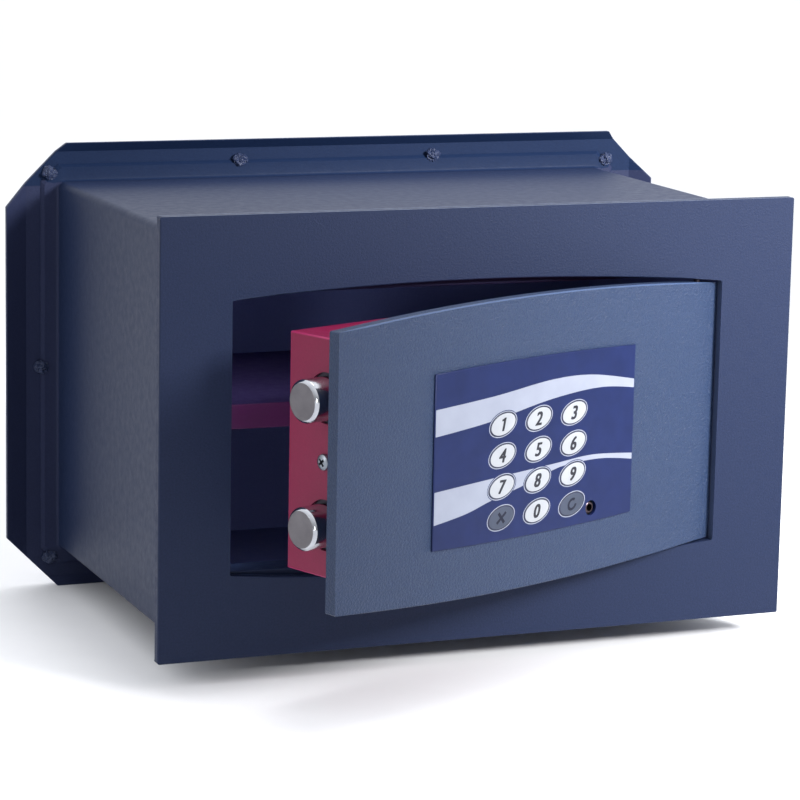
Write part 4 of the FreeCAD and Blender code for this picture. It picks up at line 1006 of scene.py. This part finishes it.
def jack():
    """The ringed socket at the keypad's lower right."""
    x, z = JACK
    face = PLATE_FACE - 0.1 * MM
    profile = [(0.0, 1.75 * MM), (-0.02 * MM, 1.85 * MM), (-0.02 * MM, 2.3 * MM), (0.1 * MM, 2.5 * MM),
               (1.6 * MM, 2.5 * MM), (1.6 * MM, 3.6 * MM), (15 * MM, 3.6 * MM), (15 * MM, 0), (13.5 * MM, 0),
               (13.5 * MM, 1.75 * MM), (0.0, 1.75 * MM)]
    mesh = lathe(profile, (x, face, z), (0, 1, 0), 64)
    bmesh.ops.remove_doubles(mesh, verts=mesh.verts, dist=1e-6)
    bmesh.ops.recalc_face_normals(mesh, faces=mesh.faces)
    mesh.transform(OPENED)
    sharpen(own("jack_ring", mesh, [FINISHES["jack_metal"]], "door", ["jack_socket"]), 30)


# ---------------------------------------------------------------- room, light and camera

LAMPS = (
    # name, place, target, width, height where it isn't square, spread in degrees, watts
    ("overhead", (0.1, -0.06, 0.95), (0, -0.16, 0.1), 0.4, None, 28, 0.22),
    ("front_right", (0.55, -1.0, 0.5), (0.21, -0.2, 0.13), 0.3, None, 44, 2.4),
    ("left_side", (-0.62, -0.26, 0.12), (-0.15, -0.18, 0), 0.2, None, 80, 0.08),
    ("inside", (-0.71, -1.28, 0.13), (-0.0135, -0.067, 0.0), 0.2, None, 14, 0.02),
    ("within", (-0.132, -0.188, 0), (0, 0.06, 0), 0.012, 0.12, 180, 0.11),
)
FLOOR_HALF = 12.0
BRIGHT_SKY = (0.1, 0.35, 0.93)


def room():
    """A plain pale floor and soft light from all round."""
    low, _ = cad_box
    mesh = bmesh.new()
    mesh.faces.new([mesh.verts.new((x * FLOOR_HALF, y * FLOOR_HALF, low.z)) for x, y in SQUARE])
    floor = placed("floor", as_data("floor", mesh))
    bpy.context.scene.view_settings.view_transform = "Standard"
    pale = Finish("floor_pale", srgb(245, 245, 247), 0.8)
    pale.tint(pale.mottle(40), srgb(246, 246, 248), srgb(248, 248, 250))
    floor.data.materials.append(pale.material)
    world = bpy.data.worlds.new("studio")
    world.use_nodes = True
    nodes, links = world.node_tree.nodes, world.node_tree.links
    nodes["Background"].inputs["Color"].default_value = (0.95, 0.97, 1.0, 1)
    # brightest overhead and to the rear, dimmer low down in front
    towards = nodes.new("ShaderNodeVectorMath")
    towards.operation = "DOT_PRODUCT"
    towards.inputs[1].default_value = BRIGHT_SKY
    fall = nodes.new("ShaderNodeMapRange")
    fall.inputs["From Min"].default_value = -0.3
    fall.inputs["To Min"].default_value = 0.25
    fall.inputs["To Max"].default_value = 1.5
    links.new(nodes.new("ShaderNodeTexCoord").outputs["Generated"], towards.inputs[0])
    links.new(towards.outputs["Value"], fall.inputs["Value"])
    links.new(fall.outputs["Result"], nodes["Background"].inputs["Strength"])
    bpy.context.scene.world = world
    for name, place, target, width, height, spread, power in LAMPS:
        lamp = bpy.data.lights.new(name, "AREA")
        lamp.energy = power
        lamp.size = width
        lamp.spread = math.radians(spread)
        if height:
            lamp.shape = "RECTANGLE"
            lamp.size_y = height
        holder = placed(name, lamp)
        holder.visible_camera = False
        aim = Vector(target) - Vector(place)
        holder.matrix_world = Matrix.Translation(place) @ aim.to_track_quat("-Z", "Y").to_matrix().to_4x4()


VIEW_TURN = math.radians(-22.224)
VIEW_RISE = math.radians(10.408)
VIEW_LEAN = math.radians(-1.209)
VIEW_AIM = Vector((-0.032309, -0.2, 0.022651))
VIEW_DISTANCE = 1.429965
FOCAL_LENGTH = 142.85
VIEW_SHIFT = (-0.0248, -0.0257)


def camera():
    """A long lens to the left of the safe and a little above it."""
    back = Vector((math.sin(VIEW_TURN) * math.cos(VIEW_RISE),
                   -math.cos(VIEW_TURN) * math.cos(VIEW_RISE), math.sin(VIEW_RISE)))
    across = (-back).cross(Vector((0, 0, 1))).normalized()
    down = (-back).cross(across)
    level_x = across * math.cos(VIEW_LEAN) + down * math.sin(VIEW_LEAN)
    level_y = down * math.cos(VIEW_LEAN) - across * math.sin(VIEW_LEAN)
    lens = bpy.data.cameras.new("camera")
    lens.lens = FOCAL_LENGTH
    lens.sensor_width = 36
    lens.shift_x, lens.shift_y = VIEW_SHIFT
    lens.clip_end = 50
    holder = placed("camera", lens)
    axes = Matrix((level_x, -level_y, back)).transposed().to_4x4()
    holder.matrix_world = Matrix.Translation(VIEW_AIM + back * VIEW_DISTANCE) @ axes
    bpy.context.scene.camera = holder


# ---------------------------------------------------------------- build

plates_and_shelf()
folded_box()
welds()
bolts()
screws()
printed_film()
keys()
jack()
finish_nodes()
room()
camera()
